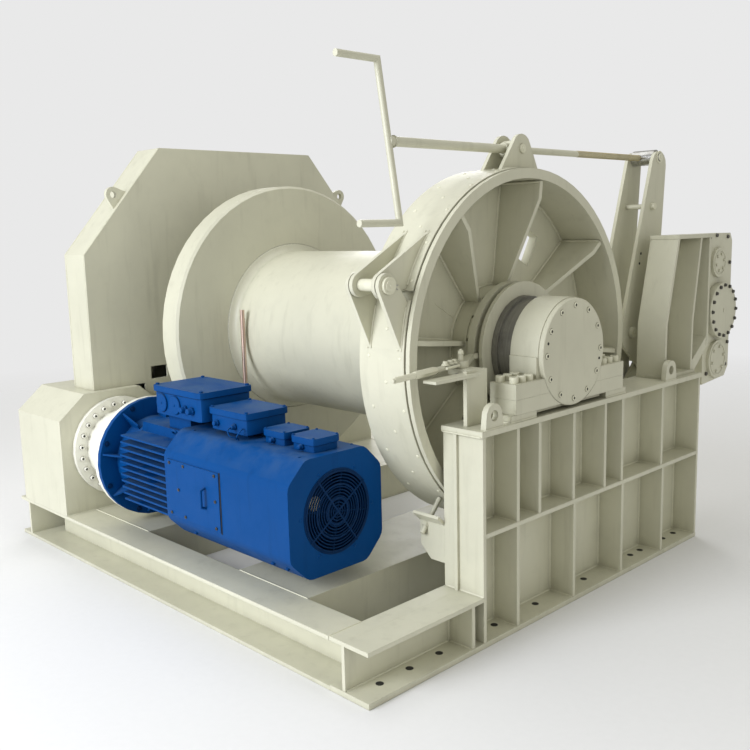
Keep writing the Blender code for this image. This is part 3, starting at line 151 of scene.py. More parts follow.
class WinchSizes(bpy.types.PropertyGroup):
    cover_screw: length("Cover screw", "Radius of a socket screw's head on the end cover", 0.0125)
    cover_circle: length("Cover circle", "Radius of the end cover's screw circle", 0.2139)
    foot_bolt: length("Foot bolt", "Radius of a bolt head on the bearing's feet", 0.0205)
    reducer_screw: length("Reducer screw", "Radius of a socket screw's head on the reducer flange", 0.0125)
    reducer_circle: length("Reducer circle", "Radius of the reducer flange's screw circle", 0.249)
    motor_circle: length("Motor circle", "Radius of the motor flange's bolt circle", 0.300)
    rivet: length("Rivet", "Radius of a countersunk rivet's head on the brake band", 0.0085)
    weld: length("Weld", "Radius of a fillet weld bead", 0.0065)
    barrel_blend: length("Barrel blend", "Radius of the hollow weld between barrel and rope flange", 0.045)
    thread_pitch: length("Thread pitch", "Pitch of the brake screw's thread", 0.0065)
    grille_pitch: length("Grille pitch", "Distance between two rings of the fan grille", 0.0135)
    grille_wire: length("Grille wire", "Radius of the fan grille's wire", 0.0030)
    grille_rings: IntProperty(name="Grille rings", description="Number of wire rings", default=13, min=1)


class WinchColours(bpy.types.PropertyGroup):
    deck: tint("Deck grey", "Pebble-grey paint of the winch", (0.615, 0.605, 0.475))
    # shade tints the paints' dirt streaks and is also painted as shade into their corners.
    shade: tint("Deck grey grime", "Colour that collects in the grey paint's corners", (0.27, 0.26, 0.18))
    cream: tint("Cream", "Paint of the planetary reducer", (0.84, 0.83, 0.74))
    blue: tint("Motor blue", "Paint of the motor", (0.0002, 0.056, 0.220))
    dust: tint("Dust", "Dust that lies on level surfaces", (0.16, 0.24, 0.28))
    floor: tint("Floor", "Studio floor and background", (0.815, 0.815, 0.815))


class WinchCamera(bpy.types.PropertyGroup):
    lens: FloatProperty(name="Lens", description="Focal length on a 36 mm sensor", default=43.28, min=1.0,
                        unit="CAMERA")
    dip: FloatProperty(name="Dip", description="How far the camera looks down", subtype="ANGLE",
                       default=math.radians(9.249))
    heading: FloatProperty(name="Heading", description="Turn of the view from +Y towards -X",
                           subtype="ANGLE", default=math.radians(45.85))
    roll: FloatProperty(name="Roll", description="Tilt of the camera about its own view", subtype="ANGLE",
                        default=math.radians(-1.439))


# ---------------- materials
def put(tree, socket, value):
    """Feeds a socket from another node's output, or gives it a value."""
    if isinstance(value, bpy.types.NodeSocket):
        tree.links.new(value, socket)
    else:
        socket.default_value = value


def add(tree, kind, inputs=None, **settings):
    """A shader node; an input is a value or another node's output."""
    made = tree.nodes.new(kind)
    for key, value in settings.items():
        setattr(made, key, value)
    for key, value in (inputs or {}).items():
        put(tree, made.inputs[key], value)
    return made


def blank(owner):
    """An empty node tree for a material or a world."""
    owner.use_nodes = True
    owner.node_tree.nodes.clear()
    return owner.node_tree


def stretched(tree, coords, scale):
    """Coordinates stretched by a scale."""
    return add(tree, "ShaderNodeMapping", {"Vector": coords, "Scale": scale}).outputs[0]


def noise(tree, coords, scale, detail=3.0, roughness=0.55):
    inputs = {"Vector": coords, "Scale": scale, "Detail": detail, "Roughness": roughness}
    return add(tree, "ShaderNodeTexNoise", inputs).outputs["Fac"]


def spread(tree, value, low_in, high_in, low_out=0.0, high_out=1.0):
    inputs = {"Value": value, "From Min": low_in, "From Max": high_in, "To Min": low_out, "To Max": high_out}
    return add(tree, "ShaderNodeMapRange", inputs, clamp=True).outputs["Result"]


def times(tree, a, b):
    inputs = {0: a, 1: b}
    return add(tree, "ShaderNodeMath", inputs, operation="MULTIPLY", use_clamp=True).outputs[0]


def mix(tree, amount, first, second):
    """A blend of two colours, each an (r, g, b) or another node's output."""
    first, second = ((*c, 1.0) if isinstance(c, tuple) else c for c in (first, second))
    inputs = {0: amount, 6: first, 7: second}
    return add(tree, "ShaderNodeMix", inputs, data_type="RGBA", blend_type="MIX").outputs[2]


def started(name, metallic=0.0, coat=0.0, specular=0.5):
    made = bpy.data.materials.new(name)
    made.use_nodes = True
    shader = made.node_tree.nodes["Principled BSDF"]
    constants = {"Metallic": metallic, "Coat Weight": coat, "Coat Roughness": 0.18,
                 "Specular IOR Level": specular}
    for key, value in constants.items():
        shader.inputs[key].default_value = value
    coords = add(made.node_tree, "ShaderNodeTexCoord").outputs["Object"]
    return made, made.node_tree, shader, coords


def ended(tree, shader, tone, rough, bump):
    """Joins colour, roughness and a bump's settings to the shader."""
    normal = add(tree, "ShaderNodeBump", bump).outputs["Normal"]
    for key, output in (("Base Color", tone), ("Roughness", rough), ("Normal", normal)):
        tree.links.new(output, shader.inputs[key])


def scaled(colour, factor):
    return tuple(min(1.0, c * factor) for c in colour)


def enamel(name, colour, grime_and_shade, dust, dusting=0.25, wear_and_highlight=0.35, gloss=(0.34, 0.50), coat=0.10, edge=0.004,
           specular=0.45):
    """Brushed or sprayed machinery paint: uneven coat, dirt streaks, painted shade in corners, dust on top,
    and light edges that are partly worn paint and partly painted highlight.
    """
    made, tree, shader, coords = started(name, coat=coat, specular=specular)
    broad = noise(tree, coords, 1.7, 4.0)
    patch = noise(tree, coords, 9.0, 5.0, 0.62)
    fine = noise(tree, coords, 85.0, 2.0)
    streak = noise(tree, stretched(tree, coords, (16.0, 16.0, 1.6)), 1.3, 3.0)
    tone = mix(tree, spread(tree, broad, 0.32, 0.68), scaled(colour, 0.93), scaled(colour, 1.05))
    tone = mix(tree, times(tree, spread(tree, patch, 0.52, 0.72), 0.30), tone, scaled(colour, 0.86))
    tone = mix(tree, times(tree, spread(tree, streak, 0.56, 0.74), 0.16), tone, grime_and_shade)
    # Painted shade: ambient occlusion darkens the paint in corners and crevices, towards the dirt streaks' colour.
    corner = add(tree, "ShaderNodeAmbientOcclusion", {"Distance": 0.07}, samples=4).outputs["AO"]
    painted_crevice_shade = times(tree, spread(tree, corner, 0.78, 0.25), spread(tree, patch, 0.25, 0.70, 0.35, 1.0))
    tone = mix(tree, times(tree, painted_crevice_shade, 0.75), tone, grime_and_shade)
    normal = add(tree, "ShaderNodeNewGeometry").outputs["Normal"]
    up = add(tree, "ShaderNodeSeparateXYZ", {"Vector": normal}).outputs["Z"]
    lying = times(tree, spread(tree, up, 0.55, 0.98), spread(tree, patch, 0.36, 0.66))
    tone = mix(tree, times(tree, lying, dusting), tone, dust)
    rounded = add(tree, "ShaderNodeBevel", {"Radius": edge}, samples=4).outputs["Normal"]
    bend = add(tree, "ShaderNodeVectorMath", {0: rounded, 1: normal}, operation="DOT_PRODUCT")
    worn_and_lit_edge = times(tree, spread(tree, bend.outputs["Value"], 0.99, 0.86), spread(tree, fine, 0.44, 0.60))
    # Lighter edges: partly worn paint, partly a painted highlight along the edges.
    tone = mix(tree, times(tree, worn_and_lit_edge, wear_and_highlight), tone, scaled(colour, 1.45))
    peel = noise(tree, coords, 260.0, 2.0)
    wave = times(tree, noise(tree, coords, 24.0, 2.0), 0.9)
    height = add(tree, "ShaderNodeMath", {0: peel, 1: wave}, operation="ADD").outputs[0]
    ended(tree, shader, tone, spread(tree, patch, 0.25, 0.75, *gloss),
          {"Strength": 0.22, "Distance": 0.0012, "Height": height, "Normal": rounded})
    return made


def metal(name, colour, stain, scale, gloss=(0.22, 0.42), staining=0.4, bump=0.12, metallic=1.0):
    """Bare metal with tool marks that run across the given scale, and stains."""
    made, tree, shader, coords = started(name, metallic=metallic)
    groove = noise(tree, stretched(tree, coords, scale), 1.0, 3.0, 0.7)
    patch = noise(tree, coords, 11.0, 5.0, 0.6)
    tone = mix(tree, spread(tree, groove, 0.35, 0.65), scaled(colour, 0.80), scaled(colour, 1.12))
    tone = mix(tree, times(tree, spread(tree, patch, 0.46, 0.68), staining), tone, stain)
    rounded = add(tree, "ShaderNodeBevel", {"Radius": 0.002}, samples=4).outputs["Normal"]
    ended(tree, shader, tone, spread(tree, patch, 0.3, 0.7, *gloss),
          {"Strength": bump, "Distance": 0.0008, "Height": groove, "Normal": rounded})
    return made


def woven(name, colour, fleck):
    """Moulded brake lining: matt, with short fibres and brass flecks."""
    made, tree, shader, coords = started(name, specular=0.3)
    strand = noise(tree, stretched(tree, coords, (160.0, 420.0, 420.0)), 1.0, 4.0, 0.7)
    cells = add(tree, "ShaderNodeTexVoronoi", {"Vector": coords, "Scale": 190.0}).outputs["Distance"]
    tone = mix(tree, spread(tree, strand, 0.35, 0.65), scaled(colour, 0.7), scaled(colour, 1.5))
    tone = mix(tree, times(tree, spread(tree, cells, 0.16, 0.08), 0.6), tone, fleck)
    ended(tree, shader, tone, spread(tree, strand, 0.3, 0.7, 0.75, 0.95),
          {"Strength": 0.5, "Distance": 0.001, "Height": strand})
    return made


MATERIALS = {}
STEEL, OXIDE = (0.50, 0.50, 0.49), (0.20, 0.15, 0.10)


def make_materials(colours):
    deck, shade, dust, blue = map(tuple, (colours.deck, colours.shade, colours.dust, colours.blue))
    deep, painted_shade_blue = scaled(blue, 0.30), scaled(blue, 0.42)
    MATERIALS.update({
        "grey_paint": enamel("deck_grey_paint", deck, shade, scaled(deck, 0.86), dusting=0.22),
        "weld_paint": enamel("painted_weld", scaled(deck, 1.10), shade, deck, wear_and_highlight=0.1, gloss=(0.34, 0.52)),
        "bolt_paint": enamel("painted_bolt", scaled(deck, 1.18), shade, deck, wear_and_highlight=0.4, edge=0.0015),
        "cream_paint": enamel("reducer_cream_paint", tuple(colours.cream), shade, dust, dusting=0.12),
        "blue_paint": enamel("motor_blue_paint", blue, deep, dust, dusting=0.22, gloss=(0.42, 0.60),
                              coat=0.0, specular=0.10),
        # Painted shade: a darker copy of the motor blue for parts that sit in shade.
        "dark_blue_paint": enamel("shaded_blue_paint", painted_shade_blue, scaled(deep, 0.5), painted_shade_blue, dusting=0.1,
                                  gloss=(0.45, 0.62), coat=0.0, specular=0.12),
        "machined_steel": metal("turned_steel", STEEL, OXIDE, (240.0, 5.0, 5.0)),
        "long_steel": metal("drawn_steel", STEEL, OXIDE, (90.0, 4.0, 90.0), staining=0.2),
        "dark_steel": metal("greased_dark_steel", (0.20, 0.195, 0.165), (0.05, 0.045, 0.035),
                            (150.0, 4.0, 4.0), gloss=(0.34, 0.6), metallic=0.25),
        "bronze": metal("bush_bronze", (0.60, 0.42, 0.20), (0.25, 0.16, 0.07), (200.0, 5.0, 5.0)),
        "copper": metal("bare_copper", (0.74, 0.57, 0.49), (0.45, 0.29, 0.22), (60.0, 60.0, 4.0),
                        gloss=(0.25, 0.4), staining=0.35),
        "thread": metal("oiled_thread", (0.46, 0.38, 0.19), (0.20, 0.15, 0.08), (120.0, 30.0, 120.0),
                        gloss=(0.3, 0.5)),
        "dark_bolt": metal("blackened_bolt", (0.10, 0.095, 0.085), (0.05, 0.04, 0.03), (60.0, 60.0, 60.0),
                           metallic=0.7),
        # Painted shade: near-black, put in screw sockets, round screw heads and over drilled holes.
        "hollow": metal("socket_shadow", (0.02, 0.02, 0.018), (0.01, 0.01, 0.01), (90.0, 90.0, 90.0),
                        gloss=(0.6, 0.8), metallic=0.0),
        "brake_lining": woven("moulded_lining", (0.12, 0.09, 0.07), (0.45, 0.33, 0.14)),
    })


# ---------------- mesh tools
def facing(at, outward, spin=0.0):
    """A frame whose Z points outward from a seat."""
    aimed = outward.to_track_quat("Z", "Y").to_matrix().to_4x4()
    return Matrix.Translation(at) @ aimed @ Matrix.Rotation(spin, 4, "Z")


def hexed(radius, angle):
    """Distance to the edge of a hexagon with that corner radius."""
    return radius * math.cos(math.pi / 6) / math.cos(angle % (TAU / 6) - math.pi / 6)


def turn(bm, place, profile, steps=12, six=()):
    """A turned body from (height, radius) pairs; the rings listed in six are hexagons."""
    rings = []
    for index, (height, radius) in enumerate(profile):
        if radius < 1e-9:
            rings.append([bm.verts.new(place @ Vector((0, 0, height)))])
            continue
        ring = []
        for k in range(steps):
            a = TAU * k / steps
            r = hexed(radius, a) if index in six else radius
            ring.append(bm.verts.new(place @ Vector((r * math.cos(a), r * math.sin(a), height))))
        rings.append(ring)
    for first, second in zip(rings, rings[1:]):
        for k in range(steps):
            corners = [first[k % len(first)], first[(k + 1) % len(first)],
                       second[(k + 1) % len(second)], second[k % len(second)]]
            corners = [c for n, c in enumerate(corners) if c not in corners[:n]]
            if len(corners) > 2:
                bm.faces.new(corners)


def socket_screw(bm, place, radius, rise, steps=24):
    edge, key = radius * 0.10, radius * 0.62
    turn(bm, place, [(0, 0), (0, radius), (rise - edge, radius), (rise, radius - edge), (rise, key),
                     (rise * 0.45, key), (rise * 0.45, 0)], steps, six=(4, 5))


def socket_shadow(bm, place, radius, rise):
    """Painted shade at the bottom of a screw's socket, and a painted shadow line round its head."""
    floor = rise * 0.45
    lip = radius * 0.60
    turn(bm, place, [(floor, 0), (floor, lip), (floor + 0.0004, lip), (floor + 0.0004, 0)], 12)
    collar(bm, place, radius * 0.96, radius * 1.10, 0.0005, 28)


def hex_bolt(bm, place, across, shank=0.0):
    """A washer, a chamfered hexagon head, and the end of a stud where shank is given."""
    corner, rise = across / math.sqrt(3), across * 0.62
    washer, plate = across * 0.64, across * 0.09
    turn(bm, place, [(0, 0), (0, washer), (plate, washer), (plate, 0)], 24)
    profile = [(plate, 0), (plate, corner), (rise * 0.84, corner), (rise, corner * 0.87), (rise, 0)]
    turn(bm, place, profile, 24, six=(1, 2))
    if shank:
        stud = across * 0.30
        turn(bm, place, [(rise, 0), (rise, stud), (rise + shank - stud * 0.15, stud),
                         (rise + shank, stud * 0.85), (rise + shank, 0)], 16)


def rivet(bm, place, radius):
    profile = [(0, 0), (0, radius)]
    profile += [(radius * 0.42 * math.sin(a), radius * math.cos(a)) for a in (0.35, 0.75, 1.15)]
    turn(bm, place, [*profile, (radius * 0.42, 0)], 12)


def disc(bm, place, radius, rise, steps, edge=None):
    edge = edge if edge is not None else min(rise * 0.3, radius * 0.1)
    turn(bm, place, [(0, 0), (0, radius), (rise - edge, radius), (rise, radius - edge), (rise, 0)], steps)


def collar(bm, place, inner, outer, rise, steps=40):
    """A flat ring with broken edges."""
    edge = min(rise, outer - inner) * 0.2
    section = [(0, inner), (0, outer), (rise - edge, outer), (rise, outer - edge), (rise, inner + edge),
               (rise - edge, inner)]
    loop(bm, [[place @ Vector((r * math.cos(TAU * k / steps), r * math.sin(TAU * k / steps), h))
               for h, r in section] for k in range(steps)], closed=True)


def hole(bm, place, rim, floor):
    """Painted shade of a drilled hole: a dark rim and floor."""
    collar(bm, place, *rim)
    disc(bm, place, *floor)


def loop(bm, sections, closed=False):
    """Skins a row of equal sections, capped at both ends or closed on itself."""
    rings = [[bm.verts.new(p) for p in section] for section in sections]
    count = len(rings[0])
    pairs = list(zip(rings, rings[1:])) + ([(rings[-1], rings[0])] if closed else [])
    for first, second in pairs:
        for k in range(count):
            bm.faces.new((first[k], first[(k + 1) % count], second[(k + 1) % count], second[k]))
    if not closed:
        bm.faces.new(rings[0][::-1])
        bm.faces.new(rings[-1])


def sweep(bm, points, radii, sides=8, closed=False):
    """A round tube along points; radii is one number or one for each point."""
    points = [Vector(p) for p in points]
    radii = radii if isinstance(radii, (list, tuple)) else [radii] * len(points)
    count = len(points)
    side = None
    sections = []
    for i, here in enumerate(points):
        before = points[i - 1] if i or closed else here
        after = points[(i + 1) % count] if i + 1 < count or closed else here
        along = (after - before).normalized()
        if side is None:
            side = along.cross(Z if abs(along.z) < 0.9 else X).normalized()
        side = (side - along * side.dot(along)).normalized()
        over = along.cross(side)
        turns = [TAU * k / sides for k in range(sides)]
        sections.append([here + (side * math.cos(a) + over * math.sin(a)) * radii[i] for a in turns])
    loop(bm, sections, closed)


def smooth_route(points, per_span):
    """A Catmull-Rom curve through points."""
    ends = [Vector(points[0]), *map(Vector, points), Vector(points[-1])]
    route = []
    for a, b, c, d in zip(ends, ends[1:], ends[2:], ends[3:]):
        for k in range(per_span):
            t = k / per_span
            route.append(0.5 * (2 * b + (c - a) * t + (2 * a - 5 * b + 4 * c - d) * t * t
                                + (3 * b - a - 3 * c + d) * t ** 3))
    return [*route, Vector(points[-1])]


def bead(bm, start, end, radius, ripple=0.010):
    """A fillet weld between two points, as a row of overlapping ripples."""
    start, end = Vector(start), Vector(end)
    steps = max(3, round((end - start).length / ripple))
    points = [start.lerp(end, k / steps) for k in range(steps + 1)]
    sweep(bm, points, [ripple_radius(k, steps, radius) for k in range(steps + 1)], 6)


def ripple_radius(k, steps, radius):
    if k in (0, steps):
        return radius * 0.45
    return radius * (0.90 + 0.12 * (k % 2) + 0.08 * math.sin(1.7 * k) * math.sin(0.31 * k))


def round_bead(bm, centre, ring_radius, start, end, radius, ripple=0.012):
    """A fillet weld along an arc across the shafts, in degrees."""
    whole = abs(end - start) >= 360
    steps = max(4, round(math.radians(abs(end - start)) * ring_radius / ripple))
    steps += steps % 2
    count = steps if whole else steps + 1
    points = [centre + ray(start + (end - start) * k / steps) * ring_radius for k in range(count)]
    radii = [ripple_radius(k + 1, steps + 2, radius) for k in range(count)]
    sweep(bm, points, radii, 6, closed=whole)


def block(bm, corner, opposite):
    (x0, y0, z0), (x1, y1, z1) = corner, opposite
    loop(bm, [[Vector((x, y0, z0)), Vector((x, y1, z0)), Vector((x, y1, z1)), Vector((x, y0, z1))]
              for x in (x0, x1)])


def piece(name, bm, material, body="base", slot=None, sharp=38, bevel=0.0):
    """Finishes one piece: outward faces, smooth shading, material, and the part it moves with."""
    bmesh.ops.recalc_face_normals(bm, faces=bm.faces[:])
    mesh = bpy.data.meshes.new(name)
    bm.to_mesh(mesh)
    bm.free()
    mesh.shade_smooth()
    mesh.set_sharp_from_angle(angle=math.radians(sharp))
    mesh.materials.append(MATERIALS[material])
    obj = bpy.data.objects.new(name, mesh)
    bpy.context.scene.collection.objects.link(obj)
    if bevel:
        rounding = obj.modifiers.new("rounded edges", "BEVEL")
        rounding.width, rounding.segments, rounding.limit_method = bevel, 2, "ANGLE"
    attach(obj, body)


def fitted(name, material, maker, places, *shape, **kept):
    """One piece made of equal fittings; a place is a point, the way it looks and maybe a turn about that."""
    bm = bmesh.new()
    for place in places:
        maker(bm, facing(*place), *shape)
    piece(name, bm, material, **kept)


def socket_ring(name, material, places, radius, rise, slot=None):
    """Socket screws as one piece, and the painted shade of their sockets and round their heads as a second."""
    fitted(f"{name}_screws", material, socket_screw, places, radius, rise, slot=slot)
    fitted(f"{name}_sockets", "hollow", socket_shadow, places, radius, rise, slot=slot)


def pin_ends(name, node, joint, body, radius, rise=0.004, tip=(0.007, 0.004, 16), slot=None):
    """Flat ends on a pin through a node, each with a small centre."""
    bm = bmesh.new()
    for x, way in both_faces(node):
        at = on_joint(joint, x)
        disc(bm, facing(at, way), radius, rise, 28)
        disc(bm, facing(at + way * rise, way), *tip)
    piece(name, bm, "bolt_paint", body, slot)


class WinchStep:
    """What every step of the build shares."""

    bl_options = {"REGISTER", "UNDO"}

    def execute(self, context):
        self.build(context.scene.winch_sizes)
        return {"FINISHED"}


# ---------------- finish of the frame's own pieces
SPECIAL_FINISH = {"brake_spindle": "grey_paint", "shift_handle": "grey_paint", "lever_nut": "long_steel",
                  "hinge_pin": "bolt_paint"}
SMOOTH_ANGLE = 32


class WINCH_OT_finish(WinchStep, bpy.types.Operator):
    """Paints the welded, cast and turned pieces and shades their curves smooth"""

    bl_idname = "winch.finish"
    bl_label = "Finish of the Main Pieces"

    def build(self, sizes):
        make_materials(bpy.context.scene.winch_colours)
        slots = {s["node"]: s["material_slot"] for s in frame["record"]["subparts"]}
        for name, obj in NODES.items():
            obj.data.materials.clear()
            obj.data.materials.append(MATERIALS[SPECIAL_FINISH.get(name, slots[name])])
            for polygon in obj.data.polygons:
                polygon.use_smooth = True
                polygon.material_index = 0
            if obj.data.has_custom_normals:
                bpy.context.view_layer.objects.active = obj
                bpy.ops.mesh.customdata_custom_splitnormals_clear()
            weld = obj.modifiers.new("joined corners", "WELD")
            weld.merge_threshold = 0.00005
            split = obj.modifiers.new("sharp edges", "EDGE_SPLIT")
            split.split_angle = math.radians(SMOOTH_ANGLE)


# ---------------- bearing and pedestal
class WINCH_OT_bearing(WinchStep, bpy.types.Operator):
    """Socket screws of the bearing's end cover and the bolts through its feet"""

    bl_idname = "winch.bearing"
    bl_label = "Bearing Screws and Bolts"

    def build(self, sizes):
        face = high("bearing_end_cover").x
        circle = [(round_shaft(face, sizes.cover_circle, 30 * k - 1), X, 0.4 * k) for k in range(12)]
        socket_ring("bearing_cover", "bolt_paint", circle, sizes.cover_screw, COVER_SCREW_RISE)
        jacks = [(round_shaft(face, sizes.cover_circle, angle), X) for angle in (164.2, 345.7)]
        fitted("bearing_jack_holes", "hollow", hole, jacks,
               (0.004, 0.0065, 0.0012, 20), (0.0042, 0.0006, 16))
        foot_top = SHAFT_Z - 0.095
        feet = [(Vector((END_X + x, SHAFT_Y + side * out, foot_top)), Z, x * 40)
                for side in (-1, 1) for x in (-0.112, -0.038) for out in (0.405, 0.352, 0.299)]
        fitted("bearing_foot_bolts", "bolt_paint", socket_screw, feet, sizes.foot_bolt, 0.028)
        bm = bmesh.new()
        z = PEDESTAL_TOP + 0.001
        for side in (-1, 1):
            inner, outer = (SHAFT_Y - FRONT_Y + side * out for out in (0.282, 0.47))
            for x in (-0.213, -0.007):
                bead(bm, spot(x, inner, z), spot(x, outer, z), sizes.weld)
            bead(bm, spot(-0.213, outer, z), spot(-0.007, outer, z), sizes.weld)
        piece("bearing_seat_welds", bm, "weld_paint")


class WINCH_OT_pedestal(WinchStep, bpy.types.Operator):
    """Fillet welds between the pedestal's ribs, rail, web and plates"""

    bl_idname = "winch.pedestal"
    bl_label = "Pedestal Welds"

    def build(self, sizes):
        r, web = sizes.weld, PEDESTAL_WEB
        bays = {"upper": (UPPER_RIBS, MID_RAIL + RIB_HALF, PEDESTAL_TOP - 0.025),
                "lower": (LOWER_RIBS, SILL, MID_RAIL - RIB_HALF)}
        for label, (ribs, z0, z1) in bays.items():
            walls = [PEDESTAL_FRONT, *[y + s * RIB_HALF for y in ribs for s in (-1, 1)], PEDESTAL_BACK]
            bm = bmesh.new()
            for y in walls:
                bead(bm, spot(web, y, z0), spot(web, y, z1), r)
            for y0, y1 in zip(walls[::2], walls[1::2]):
                for z in (z0, z1):
                    bead(bm, spot(web, y0, z), spot(web, y1, z), r)
                    for y in (y0, y1):
                        bead(bm, spot(web, y, z), spot(-0.008, y, z), r * 0.8)
            piece(f"pedestal_{label}_welds", bm, "weld_paint")
        bm = bmesh.new()
        for y, z, radius in ((0.688, BASE_TOP + 0.001, r), (0.672, PEDESTAL_TOP - 0.024, r * 0.7)):
            bead(bm, spot(-0.002, y, z), spot(-0.215, y, z), radius)
        for y in LUGS:
            for x in (-0.031, -0.003):
                bead(bm, spot(x, y - 0.058, PEDESTAL_TOP), spot(x, y + 0.058, PEDESTAL_TOP), r * 0.9)
        piece("pedestal_lug_welds", bm, "weld_paint")
        bm = bmesh.new()
        block(bm, spot(-0.12, 2.232, 0.70), spot(-0.075, 2.24, 0.86))
        piece("pedestal_cable_clip", bm, "grey_paint", bevel=0.002)


class WINCH_OT_base(WinchStep, bpy.types.Operator):
    """Welds of the base frame and the bolt holes of its bottom flange"""

    bl_idname = "winch.base"
    bl_label = "Base Frame Welds and Bolt Holes"

    def build(self, sizes):
        r, web = sizes.weld, PEDESTAL_WEB
        bm = bmesh.new()
        for y in (BEAM_WIDTH, BASE_BACK - BEAM_WIDTH):
            for x0, x1 in ((-1.05, -0.555), (-2.49, -1.86)):
                bead(bm, spot(x0, y, BASE_TOP), spot(x1, y, BASE_TOP), r * 0.6)
        for x in (-0.22, -2.83):
            for y0, y1 in ((0.002, BEAM_WIDTH), (BASE_BACK - BEAM_WIDTH, BASE_BACK - 0.002)):
                bead(bm, spot(x, y0, BASE_TOP), spot(x, y1, BASE_TOP), r * 0.6)
        for y in (BASE_RIB - RIB_HALF, BASE_RIB + RIB_HALF):
            bead(bm, spot(web, y, SILL), spot(web, y, 0.21), r)
            bead(bm, spot(-0.008, y, SILL), spot(web, y, SILL), r * 0.8)
        for z in (SILL, 0.21):
            bead(bm, spot(web, 0.01, z), spot(web, BASE_RIB - RIB_HALF, z), r)
        piece("base_welds", bm, "weld_paint")
        anchors = [(spot(-0.085, y, SILL), Z) for y in ANCHOR_HOLES]
        fitted("anchor_bolt_holes", "hollow", hole, anchors,
               (0.013, 0.0165, 0.0012, 24), (0.0135, 0.0005, 24))


# ---------------- drum and brake
class WINCH_OT_drum(WinchStep, bpy.types.Operator):
    """Welds of the rope drum and of the spoked brake drum"""

    bl_idname = "winch.drum"
    bl_label = "Drum Welds"

    def build(self, sizes):
        r = sizes.weld * 1.15
        web = round_shaft(END_X + WEB_FACE)
        bm = bmesh.new()
        round_bead(bm, web, HUB_RADIUS, 0, 360, r)
        round_bead(bm, web, RIM_RADIUS, 0, 360, r)
        for k in range(SPOKES):
            angle = FIRST_SPOKE + 360 / SPOKES * k
            for side in (-1, 1):
                across = ray(angle + 90) * side * SPOKE_HALF
                inner = web + ray(angle) * (HUB_RADIUS + 0.005) + across
                outer = web + ray(angle) * (RIM_RADIUS - 0.006) + across
                bead(bm, inner, outer, r)
                bead(bm, outer, outer + X * (WEB_RIM - WEB_FACE), r)
        piece("brake_drum_welds", bm, "weld_paint", "drum")
        bm = bmesh.new()
        for k in range(SPOKES):
            way = ray(FIRST_SPOKE + 360 / SPOKES * (k + 0.5))
            at = web - X * 0.0015
            bead(bm, at + way * 0.30, at + way * 0.46, r * 0.6)
        piece("brake_web_seams", bm, "weld_paint", "drum")
        bm = bmesh.new()
        round_bead(bm, round_shaft(END_X + BARREL_END), 0.458, 0, 360, r)
        piece("barrel_weld", bm, "weld_paint", "drum")
        bm = bmesh.new()
        skin = high("rope_barrel").z - SHAFT_Z
        blend = sizes.barrel_blend
        section = [(0, -0.002), (0, blend)]
        section += [(blend * (1 - math.cos(a)), blend * (1 - math.sin(a))) for a in (0.3, 0.6, 0.95, 1.25)]
        section += [(blend, 0), (blend, -0.002)]
        shaft = round_shaft(high("rope_flange").x)
        loop(bm, [[shaft + X * h + ray(5 * k) * (skin + out) for h, out in section] for k in range(72)],
             closed=True)
        piece("barrel_flange_blend", bm, "grey_paint", "drum", sharp=50)


RIVETS = {  # band: angles of the two edge rows, angles of the middle row
    "upper_band": ((103.2, 116.2, 129.3, 142.2, 154.6), (96.8, 109.8, 122.9, 136.2, 149.0)),
    "lower_band": ((177.2, 192.7, 208.0, 223.5, 239.0, 254.5, 270.0, 285.5, 301.0),
                   (169.0, 184.5, 200.2, 215.8, 231.3, 246.8, 262.3, 277.8, 293.3)),
}
EARS = {  # band: for each pair of ears its places along the shaft, and the angles between which it's welded
    "upper_band": (((-0.325, -0.455), 138, 156), ((-0.345, -0.450), 84.5, 96.5)),
    "lower_band": (((-0.300, -0.480), 162.5, 175), ((-0.350, -0.405), 303, 317.5)),
}


class WINCH_OT_band(WinchStep, bpy.types.Operator):
    """Rivets, ear welds and pins of the two halves of the brake band"""

    bl_idname = "winch.band"
    bl_label = "Brake Band Rivets and Pins"

    def build(self, sizes):
        for body, (edges, middles) in RIVETS.items():
            rows = ((-0.297, edges), (-0.482, edges), (-0.383, middles))
            places = [(round_shaft(END_X + x, STRAP_RADIUS - 0.0004, angle), ray(angle))
                      for x, angles in rows for angle in angles]
            fitted(f"{body}_rivets", "bolt_paint", rivet, places, sizes.rivet, body=body)
        for body, groups in EARS.items():
            bm = bmesh.new()
            for xs, start, end in groups:
                for x in (x + side * 0.010 for x in xs for side in (-1, 1)):
                    round_bead(bm, round_shaft(END_X + x), STRAP_RADIUS, start, end, sizes.weld * 0.8)
            piece(f"{body}_ear_welds", bm, "weld_paint", body)
        pin_ends("hinge_pin_ends", "hinge_pin", "lower_band_swing", "lower_band", 0.024,
                 slot="machined_steel")
        bm = bmesh.new()
        start = on_joint("lower_band_swing", high("hinge_pin").x - 0.008) + ray(-10) * 0.030
        for way in (ray(-32), ray(12)):
            sweep(bm, [start, start + way * 0.010, start + way * 0.026], 0.0024, 8)
        piece("hinge_split_pin", bm, "long_steel", "lower_band")


